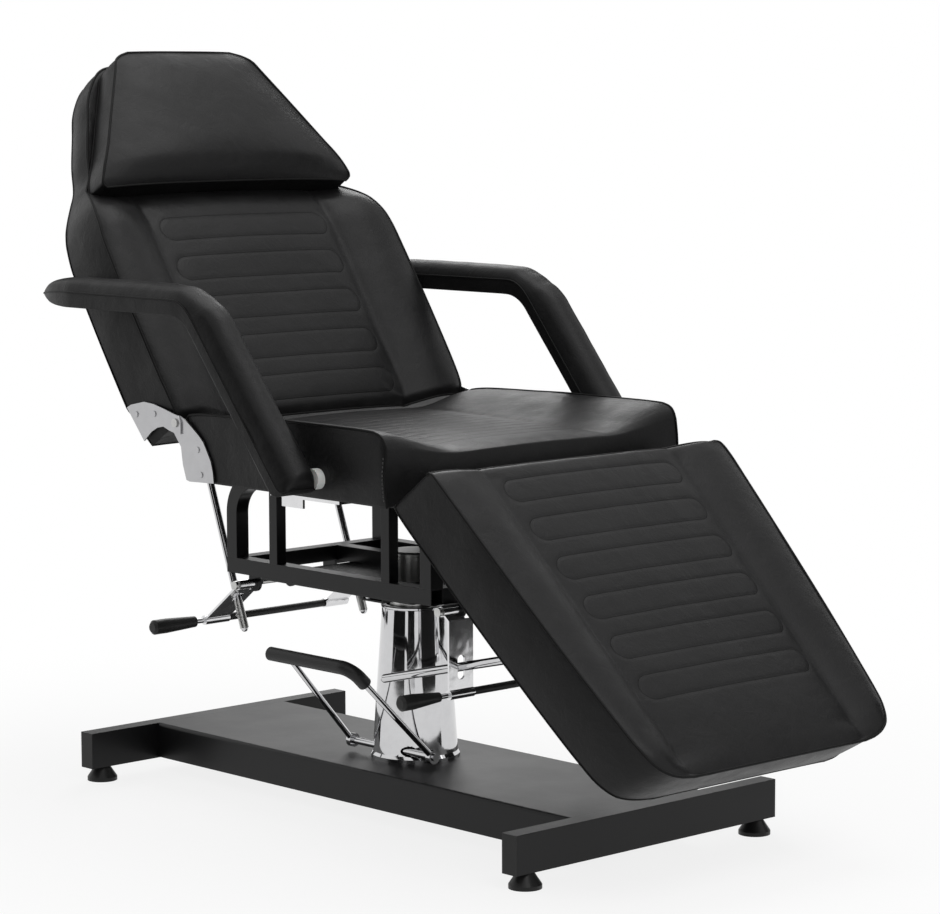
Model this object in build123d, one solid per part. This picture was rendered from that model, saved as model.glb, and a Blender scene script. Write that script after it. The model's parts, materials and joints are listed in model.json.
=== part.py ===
from build123d import *
from math import atan2, cos, degrees, hypot, radians, sin
import os

os.makedirs("parts", exist_ok=True)

# A three section tattoo chair on a hydraulic column, with its sizes in millimetres.
# +X points to the foot end, +Y to the sitter's left and +Z up. The origin is on the floor
# under the column. The back leans back and the leg rest hangs down, as the chair stands at rest.

# Clearances that every part shares
fit = 0.05
gap = 0.3
overrun = 5.0

# Base
base_length = 1055.0
base_width = 560.0
tube_width = 30.0
tube_height = 60.0
tube_wall = 2.0
cap_flange = 2.0
cap_plug = 12.0
foot_height = 24.0
foot_radius = 25.0
foot_neck_radius = 13.0
foot_rim = 6.0
foot_inset_x = 14.5
foot_inset_y = 32.0
stud_radius = 5.0
stud_sink = 14.0
stud_rise = 22.0
stud_nut_radius = 8.5
stud_nut_height = 7.0
pan_width = 284.0
pan_sheet = 3.0
pan_depth = 58.0
rib_offset = 62.0
rib_depth = 46.0
rib_setback = 24.0

# Hydraulic column
pump_plate_radius = 60.0
pump_plate_thickness = 6.0
pump_radius = 40.0
pump_height = 210.0
pump_floor = 12.0
pump_bolt_circle = 50.0
pump_bolt_radius = 4.0
pump_bolt_head_radius = 6.5
pump_bolt_head_height = 5.0
ram_radius = 25.0
ram_foot_gap = 4.0
shroud_foot_radius = 69.0
shroud_top_radius = 53.0
shroud_height = 248.0
shroud_wall = 2.0
shroud_lip = 3.0
shroud_lip_height = 5.0
shroud_mouth_radius = 46.0
shroud_rim = 5.0

# Foot pedal
pedal_y = -52.0
pedal_z = 102.0
pedal_shaft_radius = 6.0
pedal_rod_radius = 5.0
pedal_arm_radius = 4.6
pedal_left_x = -94.0
pedal_right_x = 98.0
pedal_eye_radius = 11.0
pedal_eye_width = 10.0
pedal_shaft_end = 3.0
pedal_lug_x = 20.0
pedal_lug_width = 8.0
pedal_lug_radius = 9.0
pedal_hole_play = 2.7
pedal_reach = 182.0
pedal_rise = 166.0
pedal_bar_left_x = -76.0
pedal_bar_right_x = 114.0
pedal_bend_radius = 22.0
pedal_left_arm_top_x = -36.0
pedal_sleeve_radius = 11.0
pedal_sleeve_turn_share = 0.16

# Lift head and seat frame
socket_radius = 40.0
socket_bottom = 318.0
socket_height = 101.0
socket_bevel = 3.0
socket_grip = 30.0
plate_bottom = 364.0
plate_thickness = 8.0
plate_rear_x = -210.0
plate_front_x = 160.0
plate_half_width = 150.0
plate_corner_radius = 6.0
channel_half_width = 25.0
channel_half_length = 90.0
channel_height = 20.0
channel_sheet = 3.0
clamp_pin_radius = 3.5
clamp_pin_out = 12.0
rail = 25.0
rail_wall = 2.0
frame_half_width = 170.0
frame_rear_x = -268.0
frame_front_x = 226.0
inner_rail_y = 45.0
seat_bottom = 540.0
post = 19.0
rear_post_x = -150.0
middle_post_x = 121.0
bow_radius = 57.5
screw_radius = 3.0
screw_head_radius = 6.0
screw_head_height = 3.5
screw_shares = (0.18, 0.46, 0.81)

# Boards under the upholstery
board = 12.0
seat_board_rear_x = -188.0
seat_board_front_x = 255.0
seat_board_half_width = 290.0

# Seat cushion
seat_rear_x = -200.0
seat_length = 483.0
seat_half_width = 310.0
seat_height = 117.0
bolster_share = 0.35
side_bulge = 7.0
seam_width = 3.0
seam_depth = 1.6
seat_seam_shares = (0.16, 0.30, 0.44, 0.58, 0.72, 0.86)
seat_seam_inset = 12.0

# Backrest, along its own length from the hinge and out from its front face
hinge_x = -213.0
hinge_z = 631.0
back_angle = 56.3
back_length = 715.0
back_half_width = 313.0
back_depth = 100.0
back_board_start = 84.0
back_board_end = 680.0
head_start = 438.0
head_depth = 45.0
back_stadium_count = 5
back_stadium_first = 50.0
back_stadium_pitch = 77.5
back_stadium_width = 45.0
stadium_side_inset = 20.0

# Head pillow
pillow_start = 441.0
pillow_length = 261.0
pillow_half_width = 264.0
pillow_height = 87.0
pillow_bulge = 5.0

# Hinge covers at the sides of the recline hinge
cover_thickness = 2.5
seat_cover_y = 310.3
back_cover_y = 313.1
cover_size = 130.0
recline_pin_radius = 5.0
recline_pin_head_radius = 7.0
recline_pin_head = 2.5
recline_pin_tail = 9.0
cover_screw_radius = 2.5
cover_screw_head_radius = 5.0
cover_screw_head = 1.5
cover_screw_sink = 9.0

# Prop rods behind the back
prop_y = 130.0
back_rod_radius = 6.25
back_rod_pivot_s = 277.2
back_rod_pivot_n = -117.8
back_rod_slope_x = 342.0
back_rod_slope_z = -940.0
back_rod_length = 556.5
rod_eye_radius = 8.0
rod_eye_width = 16.0
rod_pin_radius = 4.0
rod_pin_head = 3.0
rod_pin_head_radius = 6.5
bracket_sheet = 3.0
bracket_foot_length = 54.0
bracket_foot_flange = 18.0
stop_sleeve_radius = 7.25
stop_sleeve_length = 46.0
stop_screw_radius = 2.5
stop_screw_out = 3.5

# Leg rest, along its own length from the knee edge and out from its front face
knee_x = 374.5
knee_z = 605.7
leg_angle = 44.0
leg_length = 586.0
leg_half_width = 310.0
leg_depth = 100.0
leg_board_start = 16.0
leg_board_end = 440.0
leg_hinge_x = 290.0
leg_hinge_z = 560.0
leg_stadium_count = 6
leg_stadium_first = 54.0
leg_stadium_pitch = 74.6
leg_stadium_width = 43.0
ear_inner_y = 145.0
ear_sheet = 5.0
ear_radius = 10.0
ear_strap_radius = 8.0
ear_elbow_x = 285.0
ear_elbow_z = 527.5
leg_pin_radius = 5.0
leg_pin_head = 3.0
leg_pin_head_radius = 8.0
leaf_foot_width = 28.0
leaf_foot_sheet = 3.0
leaf_foot_length = 60.0
leaf_strap_radius = 6.0
notch_play = 4.0
notch_height = 34.0

# Prop rods under the leg rest
leg_rod_radius = 7.0
leg_rod_pivot_u = 245.4
leg_rod_pivot_v = -156.8
leg_rod_slope_x = -973.2
leg_rod_slope_z = -230.2
leg_rod_length = 378.0
leg_rod_eye_radius = 9.0

# Release levers and their hangers
hanger_web = 6.0
hanger_cheek = 5.0
hanger_outer_y = 120.0
hanger_inner_y = 40.0
rear_pivot_x = -260.0
rear_pivot_z = 349.0
front_pivot_x = 232.3
front_pivot_z = 362.5
hanger_round = 14.0
hanger_bolt_radius = 4.0
hanger_bolt_outer_y = 158.0
hanger_bolt_inner_y = 28.0
hanger_bolt_head = 5.0
hanger_bolt_head_radius = 7.0
hanger_collar_radius = 7.0
hanger_collar_start = 5.0
lever_sheet = 3.5
lever_eye_radius = 8.0
lever_outer_y = 155.0
lever_inner_y = 105.0
lever_neck = 20.0
rear_bar_radius = 4.25
rear_bar_x = -350.0
rear_bar_z = 280.0
front_bar_radius = 4.0
front_bar_x = 248.5
front_bar_z = 235.5
front_bend_z = 349.0
bar_sleeve_radius = 6.0
bar_sleeve_inset = 4.0
slot_play = 0.55
rear_slot_length = 25.0
front_slot_length = 37.0
grip_inner_y = 175.0
rear_grip_length = 88.0
front_grip_length = 80.0
grip_radius = 12.0
rear_grip_neck = 9.0
front_grip_neck = 7.5
grip_end_wall = 8.0
grip_round = 4.0

# Armrests
arm_pivot_x = 131.0
arm_pivot_z = 572.0
arm_inner_y = 326.0
arm_width = 64.0
arm_corner_x = -85.0
arm_top_z = 832.0
arm_tip_x = -498.0
arm_half_height = 25.5
arm_side_height = 28.0
arm_bend_radius = 95.0
arm_end_rise = 8.0
arm_tip_length = 84.0
core_height = 30.0
core_thickness = 10.0
core_start_x = -440.0
arm_bolt_radius = 5.0
arm_bolt_inner_y = 288.0
arm_bolt_nut_radius = 9.0
arm_bolt_nut = 6.0
arm_bolt_end = 3.0
washer_radius = 16.0
arm_bracket_sheet = 4.0
arm_bracket_y = 296.0
arm_bracket_top = 592.0
arm_bracket_rear_x = 2.0
arm_bracket_front_x = 165.0
arm_bracket_plate_rear_x = 96.0
arm_bracket_foot_y = 220.0
arm_bracket_foot = 6.0
arm_lip_rear_x = 30.0
arm_lip_front_x = 80.0
arm_lip_drop = 14.0


# Shapes that several parts share

def block(x0, x1, y0, y1, z0, z1):
    """A box between two corners."""
    centre = Pos((x0 + x1) / 2, (y0 + y1) / 2, (z0 + z1) / 2)
    return centre * Box(x1 - x0, y1 - y0, z1 - z0)


def rod(start, end, radius):
    """A round bar from one point to another."""
    run = Vector(*end) - Vector(*start)
    bar = Cylinder(radius, run.length, align=(Align.CENTER, Align.CENTER, Align.MIN))
    return Plane(origin=start, z_dir=run) * bar


def cross_pin(x, z, y0, y1, radius):
    """A round bar that lies along Y."""
    return rod((x, y0, z), (x, y1, z), radius)


def upright(x, y, z0, z1, radius):
    """A round bar that stands along Z."""
    return rod((x, y, z0), (x, y, z1), radius)


def slab(points, y0, y1):
    """An outline of (x, z) points, given thickness along Y."""
    wire = Wire.make_polygon([(x, y0, z) for x, z in points], close=True)
    return extrude(Face(wire), amount=y1 - y0, dir=(0, 1, 0))


def sheet(points, z0, z1):
    """An outline of (x, y) points, given thickness along Z."""
    wire = Wire.make_polygon([(x, y, z0) for x, y in points], close=True)
    return extrude(Face(wire), amount=z1 - z0, dir=(0, 0, 1))


def strap(start, end, radius, y0, y1):
    """A flat link in the XZ plane with round ends."""
    run_x, run_z = end[0] - start[0], end[1] - start[1]
    length = hypot(run_x, run_z)
    side_x, side_z = -run_z / length * radius, run_x / length * radius
    corners = [
        (start[0] + side_x, start[1] + side_z),
        (end[0] + side_x, end[1] + side_z),
        (end[0] - side_x, end[1] - side_z),
        (start[0] - side_x, start[1] - side_z),
    ]
    link = slab(corners, y0, y1)
    link += cross_pin(start[0], start[1], y0, y1, radius)
    return link + cross_pin(end[0], end[1], y0, y1, radius)


def swept(points, radii, profile_radius):
    """A round bar bent through points, with an arc at each corner."""
    path = FilletPolyline(*points, radius=radii)
    start = Plane(origin=path @ 0, z_dir=path % 0)
    return sweep(start * Circle(profile_radius), path=path)


def mirrored(shape):
    """The same piece on the other side of the chair."""
    return mirror(shape, about=Plane.XZ)


def pair(shape):
    """The piece and its mirror image."""
    return [shape, mirrored(shape)]


def hollow_bar(x0, x1, y0, y1, z0, z1, wall, along):
    """A box section tube, open at both ends."""
    bar = block(x0, x1, y0, y1, z0, z1)
    if along == "x":
        return bar - block(x0 - wall, x1 + wall, y0 + wall, y1 - wall, z0 + wall, z1 - wall)
    if along == "y":
        return bar - block(x0 + wall, x1 - wall, y0 - wall, y1 + wall, z0 + wall, z1 - wall)
    return bar - block(x0 + wall, x1 - wall, y0 + wall, y1 - wall, z0 - wall, z1 + wall)


def cushion_section(x, lean, half, low, edge, bolster, valley, middle):
    """One cross section: flat below, full sides, two raised bolsters and a crowned middle."""
    shoulder = half - side_bulge / 2
    inner = shoulder - half * bolster_share
    outline = [
        [(-half + side_bulge, low), (half - side_bulge, low)],
        [(half - side_bulge, low), (half, (low + edge) / 2), (shoulder, edge)],
        [(shoulder, edge), ((shoulder + inner) / 2, bolster), (inner, valley)],
        [(inner, valley), (0, middle), (-inner, valley)],
        [(-inner, valley), (-(shoulder + inner) / 2, bolster), (-shoulder, edge)],
        [(-shoulder, edge), (-half, (low + edge) / 2), (-half + side_bulge, low)],
    ]
    return section_face(x, lean, outline)


def pillow_section(x, half, low, edge, crown):
    """One cross section of the pillow: flat below, full sides and one crown."""
    outline = [
        [(-half + pillow_bulge, low), (half - pillow_bulge, low)],
        [(half - pillow_bulge, low), (half, (low + edge) / 2), (half - pillow_bulge, edge)],
        [(half - pillow_bulge, edge), (0, crown), (-half + pillow_bulge, edge)],
        [(-half + pillow_bulge, edge), (-half, (low + edge) / 2), (-half + pillow_bulge, low)],
    ]
    return section_face(x, 0, outline)


def section_face(x, lean, outline):
    """A closed face of lines and arcs given as (y, z) points, standing at x and leaning with z."""
    edges = []
    for run in outline:
        points = [(x + lean * z, y, z) for y, z in run]
        if len(points) == 2:
            edges.append(Edge.make_line(*points))
        else:
            edges.append(Edge.make_three_point_arc(*points))
    return Face(Wire(edges))


def stitched(cushion, outlines, reach):
    """A cushion with sewn lines sunk into its face. Each outline is a flat shape in XY."""
    lowered = Pos(0, 0, -seam_depth) * cushion
    for outline in outlines:
        tool = extrude(outline, amount=reach, both=True)
        cushion = cushion - (tool - lowered)
    return cushion


def stadium_ring(x, half_width, width):
    """A sewn outline with round ends that runs across the cushion."""
    outer = SlotOverall(half_width * 2, width, rotation=90)
    inner = SlotOverall((half_width - seam_width) * 2, width - seam_width * 2, rotation=90)
    return Pos(x, 0, 0) * (outer - inner)


def save(name, shapes):
    """Write one node's solids."""
    if not isinstance(shapes, (list, tuple)):
        shapes = [shapes]
    solids = [solid for shape in shapes for solid in shape.solids()]
    export_step(Compound(children=solids), f"parts/{name}.step")


# Cross tubes, with a hole in the floor wall for each foot stud

half_base = base_length / 2
tube_bottom = foot_height
tube_top = tube_bottom + tube_height
tube_half = base_width / 2 - cap_flange
foot_x = half_base - foot_inset_x
foot_y = base_width / 2 - foot_inset_y


def cross_tube(outer_x, inner_x):
    """A box tube across one end of the base."""
    x0, x1 = min(outer_x, inner_x), max(outer_x, inner_x)
    tube = hollow_bar(x0, x1, -tube_half, tube_half, tube_bottom, tube_top, tube_wall, "y")
    stud_x = foot_x if outer_x > 0 else -foot_x
    for y in (-foot_y, foot_y):
        tube -= upright(stud_x, y, 0, tube_bottom + tube_wall * 2, stud_radius + fit)
    return tube


save("cross_tube_front", cross_tube(half_base, half_base - tube_width))
save("cross_tube_rear", cross_tube(-half_base, tube_width - half_base))

# Plastic caps in the four tube ends
caps = []
for sign_x in (-1, 1):
    x0 = sign_x * half_base - (tube_width if sign_x > 0 else 0)
    flange = block(x0, x0 + tube_width, tube_half, base_width / 2, tube_bottom, tube_top)
    inset = tube_wall + fit
    plug = block(x0 + inset, x0 + tube_width - inset, tube_half - cap_plug, tube_half,
                 tube_bottom + inset, tube_top - inset)
    core = block(x0 + inset * 2, x0 + tube_width - inset * 2, tube_half - cap_plug - overrun,
                 tube_half, tube_bottom + inset * 2, tube_top - inset * 2)
    caps += pair(flange + (plug - core))
save("tube_caps", caps)

# Bell shaped feet, each on a threaded stud with a nut inside the tube
stud_foot = foot_height - stud_sink
foot_outline = [
    (0, 0), (foot_radius, 0), (foot_radius, foot_rim),
    (foot_neck_radius, foot_height), (0, foot_height),
]
foot_face = Face(Wire.make_polygon([(x, 0, z) for x, z in foot_outline], close=True))
foot_bell = revolve(foot_face, axis=Axis.Z)
foot_bell -= upright(0, 0, stud_foot, foot_height + overrun, stud_radius + fit)
stud = upright(0, 0, stud_foot, foot_height + stud_rise, stud_radius)
nut_plane = Plane.XY.offset(tube_bottom + tube_wall)
nut = extrude(nut_plane * RegularPolygon(stud_nut_radius, 6), amount=stud_nut_height)
stud += nut
feet = []
studs = []
for x in (-foot_x, foot_x):
    for y in (-foot_y, foot_y):
        feet.append(Pos(x, y, 0) * foot_bell)
        studs.append(Pos(x, y, 0) * stud)
save("foot_pads", feet)
save("foot_studs", studs)

# Pressed pan between the cross tubes, open underneath, with two ribs below
pan_half = half_base - tube_width
pan_top = tube_top
pan = block(-pan_half, pan_half, -pan_width / 2, pan_width / 2, pan_top - pan_depth, pan_top)
pan = fillet(pan.edges().filter_by(Axis.X).group_by(Axis.Z)[-1], pan_sheet * 2)
pan_inside = block(-pan_half - overrun, pan_half + overrun, pan_sheet - pan_width / 2,
                   pan_width / 2 - pan_sheet, 0, pan_top - pan_sheet)
pan -= fillet(pan_inside.edges().filter_by(Axis.X).group_by(Axis.Z)[-1], pan_sheet)
for angle in (45, 135, 225, 315):
    bolt_x = pump_bolt_circle * cos(radians(angle))
    bolt_y = pump_bolt_circle * sin(radians(angle))
    pan -= upright(bolt_x, bolt_y, pan_top - pan_depth, pan_top + overrun, pump_bolt_radius + fit)
save("base_pan", pan)
rib_top = pan_top - pan_sheet
rib = block(rib_setback - pan_half, pan_half - rib_setback, rib_offset, rib_offset + pan_sheet,
            rib_top - rib_depth, rib_top)
save("pan_ribs", pair(rib))

# Pump plate with the two lugs that carry the pedal shaft, and its bolts
plate_top = pan_top + pump_plate_thickness
pump_plate = upright(0, 0, pan_top, plate_top, pump_plate_radius)
for side in (-1, 1):
    lug_x = side * pedal_lug_x
    lug = rod((lug_x - pedal_lug_width / 2, pedal_y, pedal_z),
              (lug_x + pedal_lug_width / 2, pedal_y, pedal_z), pedal_lug_radius)
    lug += block(lug_x - pedal_lug_width / 2, lug_x + pedal_lug_width / 2,
                 pedal_y - pedal_lug_radius, pedal_y + pedal_lug_radius, pan_top, pedal_z)
    pump_plate += lug
pump_plate -= rod((-pump_plate_radius, pedal_y, pedal_z), (pump_plate_radius, pedal_y, pedal_z),
                  pedal_shaft_radius + fit)
pump_bolts = []
for angle in (45, 135, 225, 315):
    bolt_x = pump_bolt_circle * cos(radians(angle))
    bolt_y = pump_bolt_circle * sin(radians(angle))
    pump_plate -= upright(bolt_x, bolt_y, 0, plate_top + overrun, pump_bolt_radius + fit)
    bolt = upright(bolt_x, bolt_y, rib_top - overrun, plate_top, pump_bolt_radius)
    bolt += upright(bolt_x, bolt_y, plate_top, plate_top + pump_bolt_head_height, pump_bolt_head_radius)
    pump_bolts.append(bolt)
pump_top = plate_top + pump_height
pump_bore_bottom = plate_top + pump_floor
pump_body = upright(0, 0, plate_top, pump_top, pump_radius)
pump_body -= upright(0, 0, pump_bore_bottom, pump_top + overrun, ram_radius + fit)
pump_body = chamfer(pump_body.edges().filter_by(GeomType.CIRCLE).group_by(Axis.Z)[-1], shroud_wall)
save("pump_plate", pump_plate)
save("pump_bolts", pump_bolts)
save("pump_body", pump_body)

# Chrome shroud: a tapered shell with a lip at the foot and a rolled rim at the mouth
shroud_top = pan_top + shroud_height
shroud_outline = [
    (shroud_foot_radius + shroud_lip, pan_top),
    (shroud_foot_radius + shroud_lip, pan_top + shroud_lip_height),
    (shroud_foot_radius, pan_top + shroud_lip_height * 2),
    (shroud_top_radius, shroud_top - shroud_rim),
    (shroud_top_radius + shroud_rim / 4, shroud_top - shroud_rim * 3 / 4),
    (shroud_top_radius + shroud_rim / 4, shroud_top - shroud_rim / 4),
    (shroud_top_radius - shroud_rim / 4, shroud_top),
    (shroud_mouth_radius, shroud_top),
    (shroud_mouth_radius, shroud_top - shroud_wall),
    (shroud_top_radius - shroud_wall, shroud_top - shroud_wall),
    (shroud_foot_radius - shroud_wall, pan_top + shroud_lip_height * 2),
    (shroud_foot_radius - shroud_wall, pan_top),
]
shroud_face = Face(Wire.make_polygon([(x, 0, z) for x, z in shroud_outline], close=True))
shroud = revolve(shroud_face, axis=Axis.Z)
shroud -= rod((-base_width, pedal_y, pedal_z), (base_width, pedal_y, pedal_z),
              pedal_shaft_radius + pedal_hole_play)
save("column_shroud", shroud)

# Pedal: a cross shaft, two rising arms and a bar with a rubber sleeve
shaft_start = pedal_left_x - pedal_eye_width / 2 - pedal_shaft_end
shaft_end = pedal_right_x + pedal_eye_width / 2 + pedal_shaft_end
pedal_shaft = rod((shaft_start, pedal_y, pedal_z), (shaft_end, pedal_y, pedal_z), pedal_shaft_radius)
save("pedal_shaft", pedal_shaft)

bar_y = pedal_y - pedal_reach
bar_z = pedal_z + pedal_rise
arm_run = hypot(pedal_reach, pedal_rise)
eye_clear_y = pedal_y - pedal_reach / arm_run * (pedal_eye_radius - pedal_rod_radius / 2)
eye_clear_z = pedal_z + pedal_rise / arm_run * (pedal_eye_radius - pedal_rod_radius / 2)
loop_points = [
    (pedal_right_x, eye_clear_y, eye_clear_z),
    (pedal_bar_right_x, bar_y, bar_z),
    (pedal_bar_left_x, bar_y, bar_z),
]
pedal_loop = swept(loop_points, pedal_bend_radius, pedal_rod_radius)
left_arm = rod((pedal_left_x, eye_clear_y, eye_clear_z), (pedal_left_arm_top_x, bar_y, bar_z),
               pedal_arm_radius)
pedal_loop += left_arm
for x in (pedal_left_x, pedal_right_x):
    eye = rod((x - pedal_eye_width / 2, pedal_y, pedal_z), (x + pedal_eye_width / 2, pedal_y, pedal_z),
              pedal_eye_radius)
    pedal_loop += eye
pedal_loop -= rod((shaft_start - overrun, pedal_y, pedal_z), (shaft_end + overrun, pedal_y, pedal_z),
                  pedal_shaft_radius + fit)
save("pedal_loop", pedal_loop)

turn_y = bar_y + pedal_reach * pedal_sleeve_turn_share
turn_z = bar_z - pedal_rise * pedal_sleeve_turn_share
turn_x = pedal_bar_right_x - (pedal_bar_right_x - pedal_right_x) * pedal_sleeve_turn_share
sleeve_points = [
    (turn_x, turn_y, turn_z),
    (pedal_bar_right_x, bar_y, bar_z),
    (pedal_bar_left_x - pedal_rod_radius, bar_y, bar_z),
]
pedal_sleeve = swept(sleeve_points, pedal_bend_radius, pedal_sleeve_radius)
bar_core = swept(loop_points, pedal_bend_radius, pedal_rod_radius + fit)
arm_core_cut = rod((pedal_left_x, eye_clear_y, eye_clear_z), (pedal_left_arm_top_x, bar_y, bar_z),
                   pedal_arm_radius + fit)
pedal_sleeve = pedal_sleeve - bar_core - arm_core_cut
save("pedal_sleeve", pedal_sleeve)

# Ram and the steel head that clamps the seat frame to it
ram_bottom = pump_bore_bottom + ram_foot_gap
ram_top = socket_bottom + socket_grip
pump_ram = upright(0, 0, ram_bottom, ram_top, ram_radius)
save("pump_ram", pump_ram)
socket_top = socket_bottom + socket_height
head_socket = upright(0, 0, socket_bottom, socket_top, socket_radius)
head_socket = chamfer(head_socket.edges().filter_by(GeomType.CIRCLE), socket_bevel)
head_socket -= upright(0, 0, socket_bottom - overrun, ram_top, ram_radius + fit)
save("head_socket", head_socket)

# Mounting plate round the head, with its clamp channel below
frame_bottom = plate_bottom + plate_thickness
mounting_plate = block(plate_rear_x, plate_front_x, -plate_half_width, plate_half_width,
                       plate_bottom, frame_bottom)
mounting_plate = fillet(mounting_plate.edges().filter_by(Axis.Z), plate_corner_radius)
mounting_plate -= upright(0, 0, plate_bottom - overrun, frame_bottom + overrun, socket_radius + fit)
save("mounting_plate", mounting_plate)
channel = block(-channel_half_width, channel_half_width, -channel_half_length, channel_half_length,
                plate_bottom - channel_height, plate_bottom)
channel -= block(channel_sheet - channel_half_width, channel_half_width - channel_sheet,
                 -channel_half_length - overrun, channel_half_length + overrun,
                 plate_bottom - channel_height + channel_sheet, plate_bottom - channel_sheet)
channel -= upright(0, 0, socket_bottom, plate_bottom + overrun, socket_radius + fit)
pin_z = plate_bottom - channel_height / 2
pin_start = -channel_half_length - clamp_pin_out
channel_pin = rod((0, pin_start, pin_z), (0, -socket_radius - gap, pin_z), clamp_pin_radius)
save("head_channel", channel)
save("clamp_pin", channel_pin)

# Lower frame: two side rails, one inner rail and the two cross members
rail_inner_y = frame_half_width - rail
frame_mid = frame_bottom + rail
side_rail = hollow_bar(frame_rear_x, frame_front_x, rail_inner_y, frame_half_width,
                       frame_bottom, frame_mid, rail_wall, "x")
inner_rail = hollow_bar(frame_rear_x + rail, frame_front_x - rail, inner_rail_y, inner_rail_y + rail,
                        frame_bottom, frame_mid, rail_wall, "x")
save("lower_rails", pair(side_rail) + [inner_rail])
cross_rear = hollow_bar(frame_rear_x, frame_rear_x + rail, -rail_inner_y, rail_inner_y,
                        frame_bottom, frame_mid, rail_wall, "y")
save("cross_member_rear", cross_rear)
cross_front = hollow_bar(frame_front_x - rail, frame_front_x, -rail_inner_y, rail_inner_y,
                         frame_bottom, frame_mid, rail_wall, "y")
save("cross_member_front", cross_front)

# Bow tubes that rise at the rear and run forward into the top rails
rail_y = frame_half_width - rail / 2
bow_x = frame_rear_x + rail / 2
bow_z = seat_bottom - rail / 2
bow_end_x = bow_x + bow_radius


def bow_piece(width):
    """The rising leg and the bend of one bow at a given section width."""
    leg = block(bow_x - width / 2, bow_x + width / 2, rail_y - width / 2, rail_y + width / 2,
                frame_mid, bow_z - bow_radius)
    centre_x, centre_z = bow_end_x, bow_z - bow_radius
    ring = cross_pin(centre_x, centre_z, rail_y - width / 2, rail_y + width / 2,
                     bow_radius + width / 2)
    ring -= cross_pin(centre_x, centre_z, rail_y - width, rail_y + width, bow_radius - width / 2)
    quarter = block(bow_x - width, centre_x, rail_y - width, rail_y + width, centre_z, bow_z + width)
    return leg + (ring & quarter)


bow = bow_piece(rail) - bow_piece(rail - rail_wall * 2)
save("bow_tubes", pair(bow))
top_rail_bottom = seat_bottom - rail
top_rail = hollow_bar(bow_end_x, frame_front_x, rail_inner_y, frame_half_width,
                      top_rail_bottom, seat_bottom, rail_wall, "x")
board_length = seat_board_front_x - seat_board_rear_x
screw_xs = [seat_board_rear_x + share * board_length for share in screw_shares]
for x in screw_xs:
    top_rail -= upright(x, rail_y, top_rail_bottom - overrun, seat_bottom + overrun, screw_radius + fit)
save("top_rails", pair(top_rail))

# Posts between the lower and the top rails
posts = []
for x, width in ((rear_post_x, post), (middle_post_x, post), (frame_front_x - rail / 2, rail)):
    posts += pair(hollow_bar(x - width / 2, x + width / 2, frame_half_width - width,
                             frame_half_width, frame_mid, top_rail_bottom, rail_wall, "z"))
save("frame_posts", posts)

# Seat board, screwed down on the top rails
board_top = seat_bottom + board
seat_board = block(seat_board_rear_x, seat_board_front_x, -seat_board_half_width,
                   seat_board_half_width, seat_bottom, board_top)
seat_screws = []
for x in screw_xs:
    for y in (-rail_y, rail_y):
        seat_board -= upright(x, y, seat_bottom - overrun, board_top + overrun, screw_radius + fit)
        screw = upright(x, y, top_rail_bottom, board_top, screw_radius)
        screw += upright(x, y, top_rail_bottom - screw_head_height, top_rail_bottom, screw_head_radius)
        seat_screws.append(screw)
save("seat_board", seat_board)
save("seat_screws", seat_screws)

# Seat cushion: shares of its length, half width and height, from the rear to the front
# Each row is x, half width, underside, side edge, bolster top, valley and middle
seat_shares = (
    (0.000, 0.968, 0.171, 0.780, 0.800, 0.680, 0.665),
    (0.017, 0.984, 0.034, 0.889, 0.860, 0.745, 0.735),
    (0.104, 0.994, 0.000, 0.927, 0.868, 0.750, 0.738),
    (0.300, 0.998, 0.000, 0.948, 0.885, 0.750, 0.730),
    (0.500, 1.000, 0.000, 0.966, 0.897, 0.748, 0.718),
    (0.700, 1.000, 0.000, 0.970, 0.897, 0.742, 0.710),
    (0.850, 0.999, 0.000, 0.970, 0.890, 0.732, 0.700),
    (0.925, 0.997, 0.000, 0.966, 0.872, 0.712, 0.688),
    (0.967, 0.994, 0.009, 0.935, 0.842, 0.697, 0.675),
    (0.986, 0.987, 0.068, 0.865, 0.785, 0.655, 0.640),
    (0.996, 0.977, 0.154, 0.760, 0.700, 0.590, 0.580),
    (1.000, 0.961, 0.273, 0.630, 0.590, 0.510, 0.505),
)
seat_faces = []
for x, half, low, edge, bolster, valley, middle in seat_shares:
    heights = [seat_height * share for share in (low, edge, bolster, valley, middle)]
    seat_faces.append(cushion_section(seat_length * x, 0, seat_half_width * half, *heights))
seat_cushion = loft(seat_faces)
seat_cushion -= block(-seat_length, seat_length * 2, -seat_length, seat_length, -seat_length, 0)
seat_middle_half = seat_half_width * (1 - bolster_share) - side_bulge / 2 - seat_seam_inset
seat_seams = []
for share in seat_seam_shares:
    seat_seams.append(Pos(seat_length * share, 0, 0) * Rectangle(seam_width, seat_middle_half * 2))
seat_cushion = stitched(seat_cushion, seat_seams, seat_height * 2)
seat_cushion = Pos(seat_rear_x, 0, seat_bottom) * seat_cushion
seat_cushion -= block(seat_board_rear_x, seat_board_front_x, -seat_board_half_width,
                      seat_board_half_width, seat_bottom - overrun, board_top)
for side in (-1, 1):
    inner, outer = side * (arm_bracket_y - gap), side * (arm_bracket_y + arm_bracket_sheet + gap)
    seat_cushion -= block(arm_bracket_plate_rear_x - gap, arm_bracket_front_x + gap, min(inner, outer),
                          max(inner, outer), seat_bottom - overrun, arm_bracket_top + gap)
    seat_cushion -= cross_pin(arm_pivot_x, arm_pivot_z, side * arm_bracket_y,
                              side * arm_inner_y, arm_bolt_radius + gap)
    seat_cushion -= cross_pin(arm_pivot_x, arm_pivot_z, side * (arm_bolt_inner_y - gap),
                              side * (arm_bracket_y + gap), arm_bolt_nut_radius + gap)
notch_inner_y = ear_inner_y - notch_play
notch_outer_y = ear_inner_y + ear_sheet * 2 + leg_pin_head + notch_play
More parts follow.
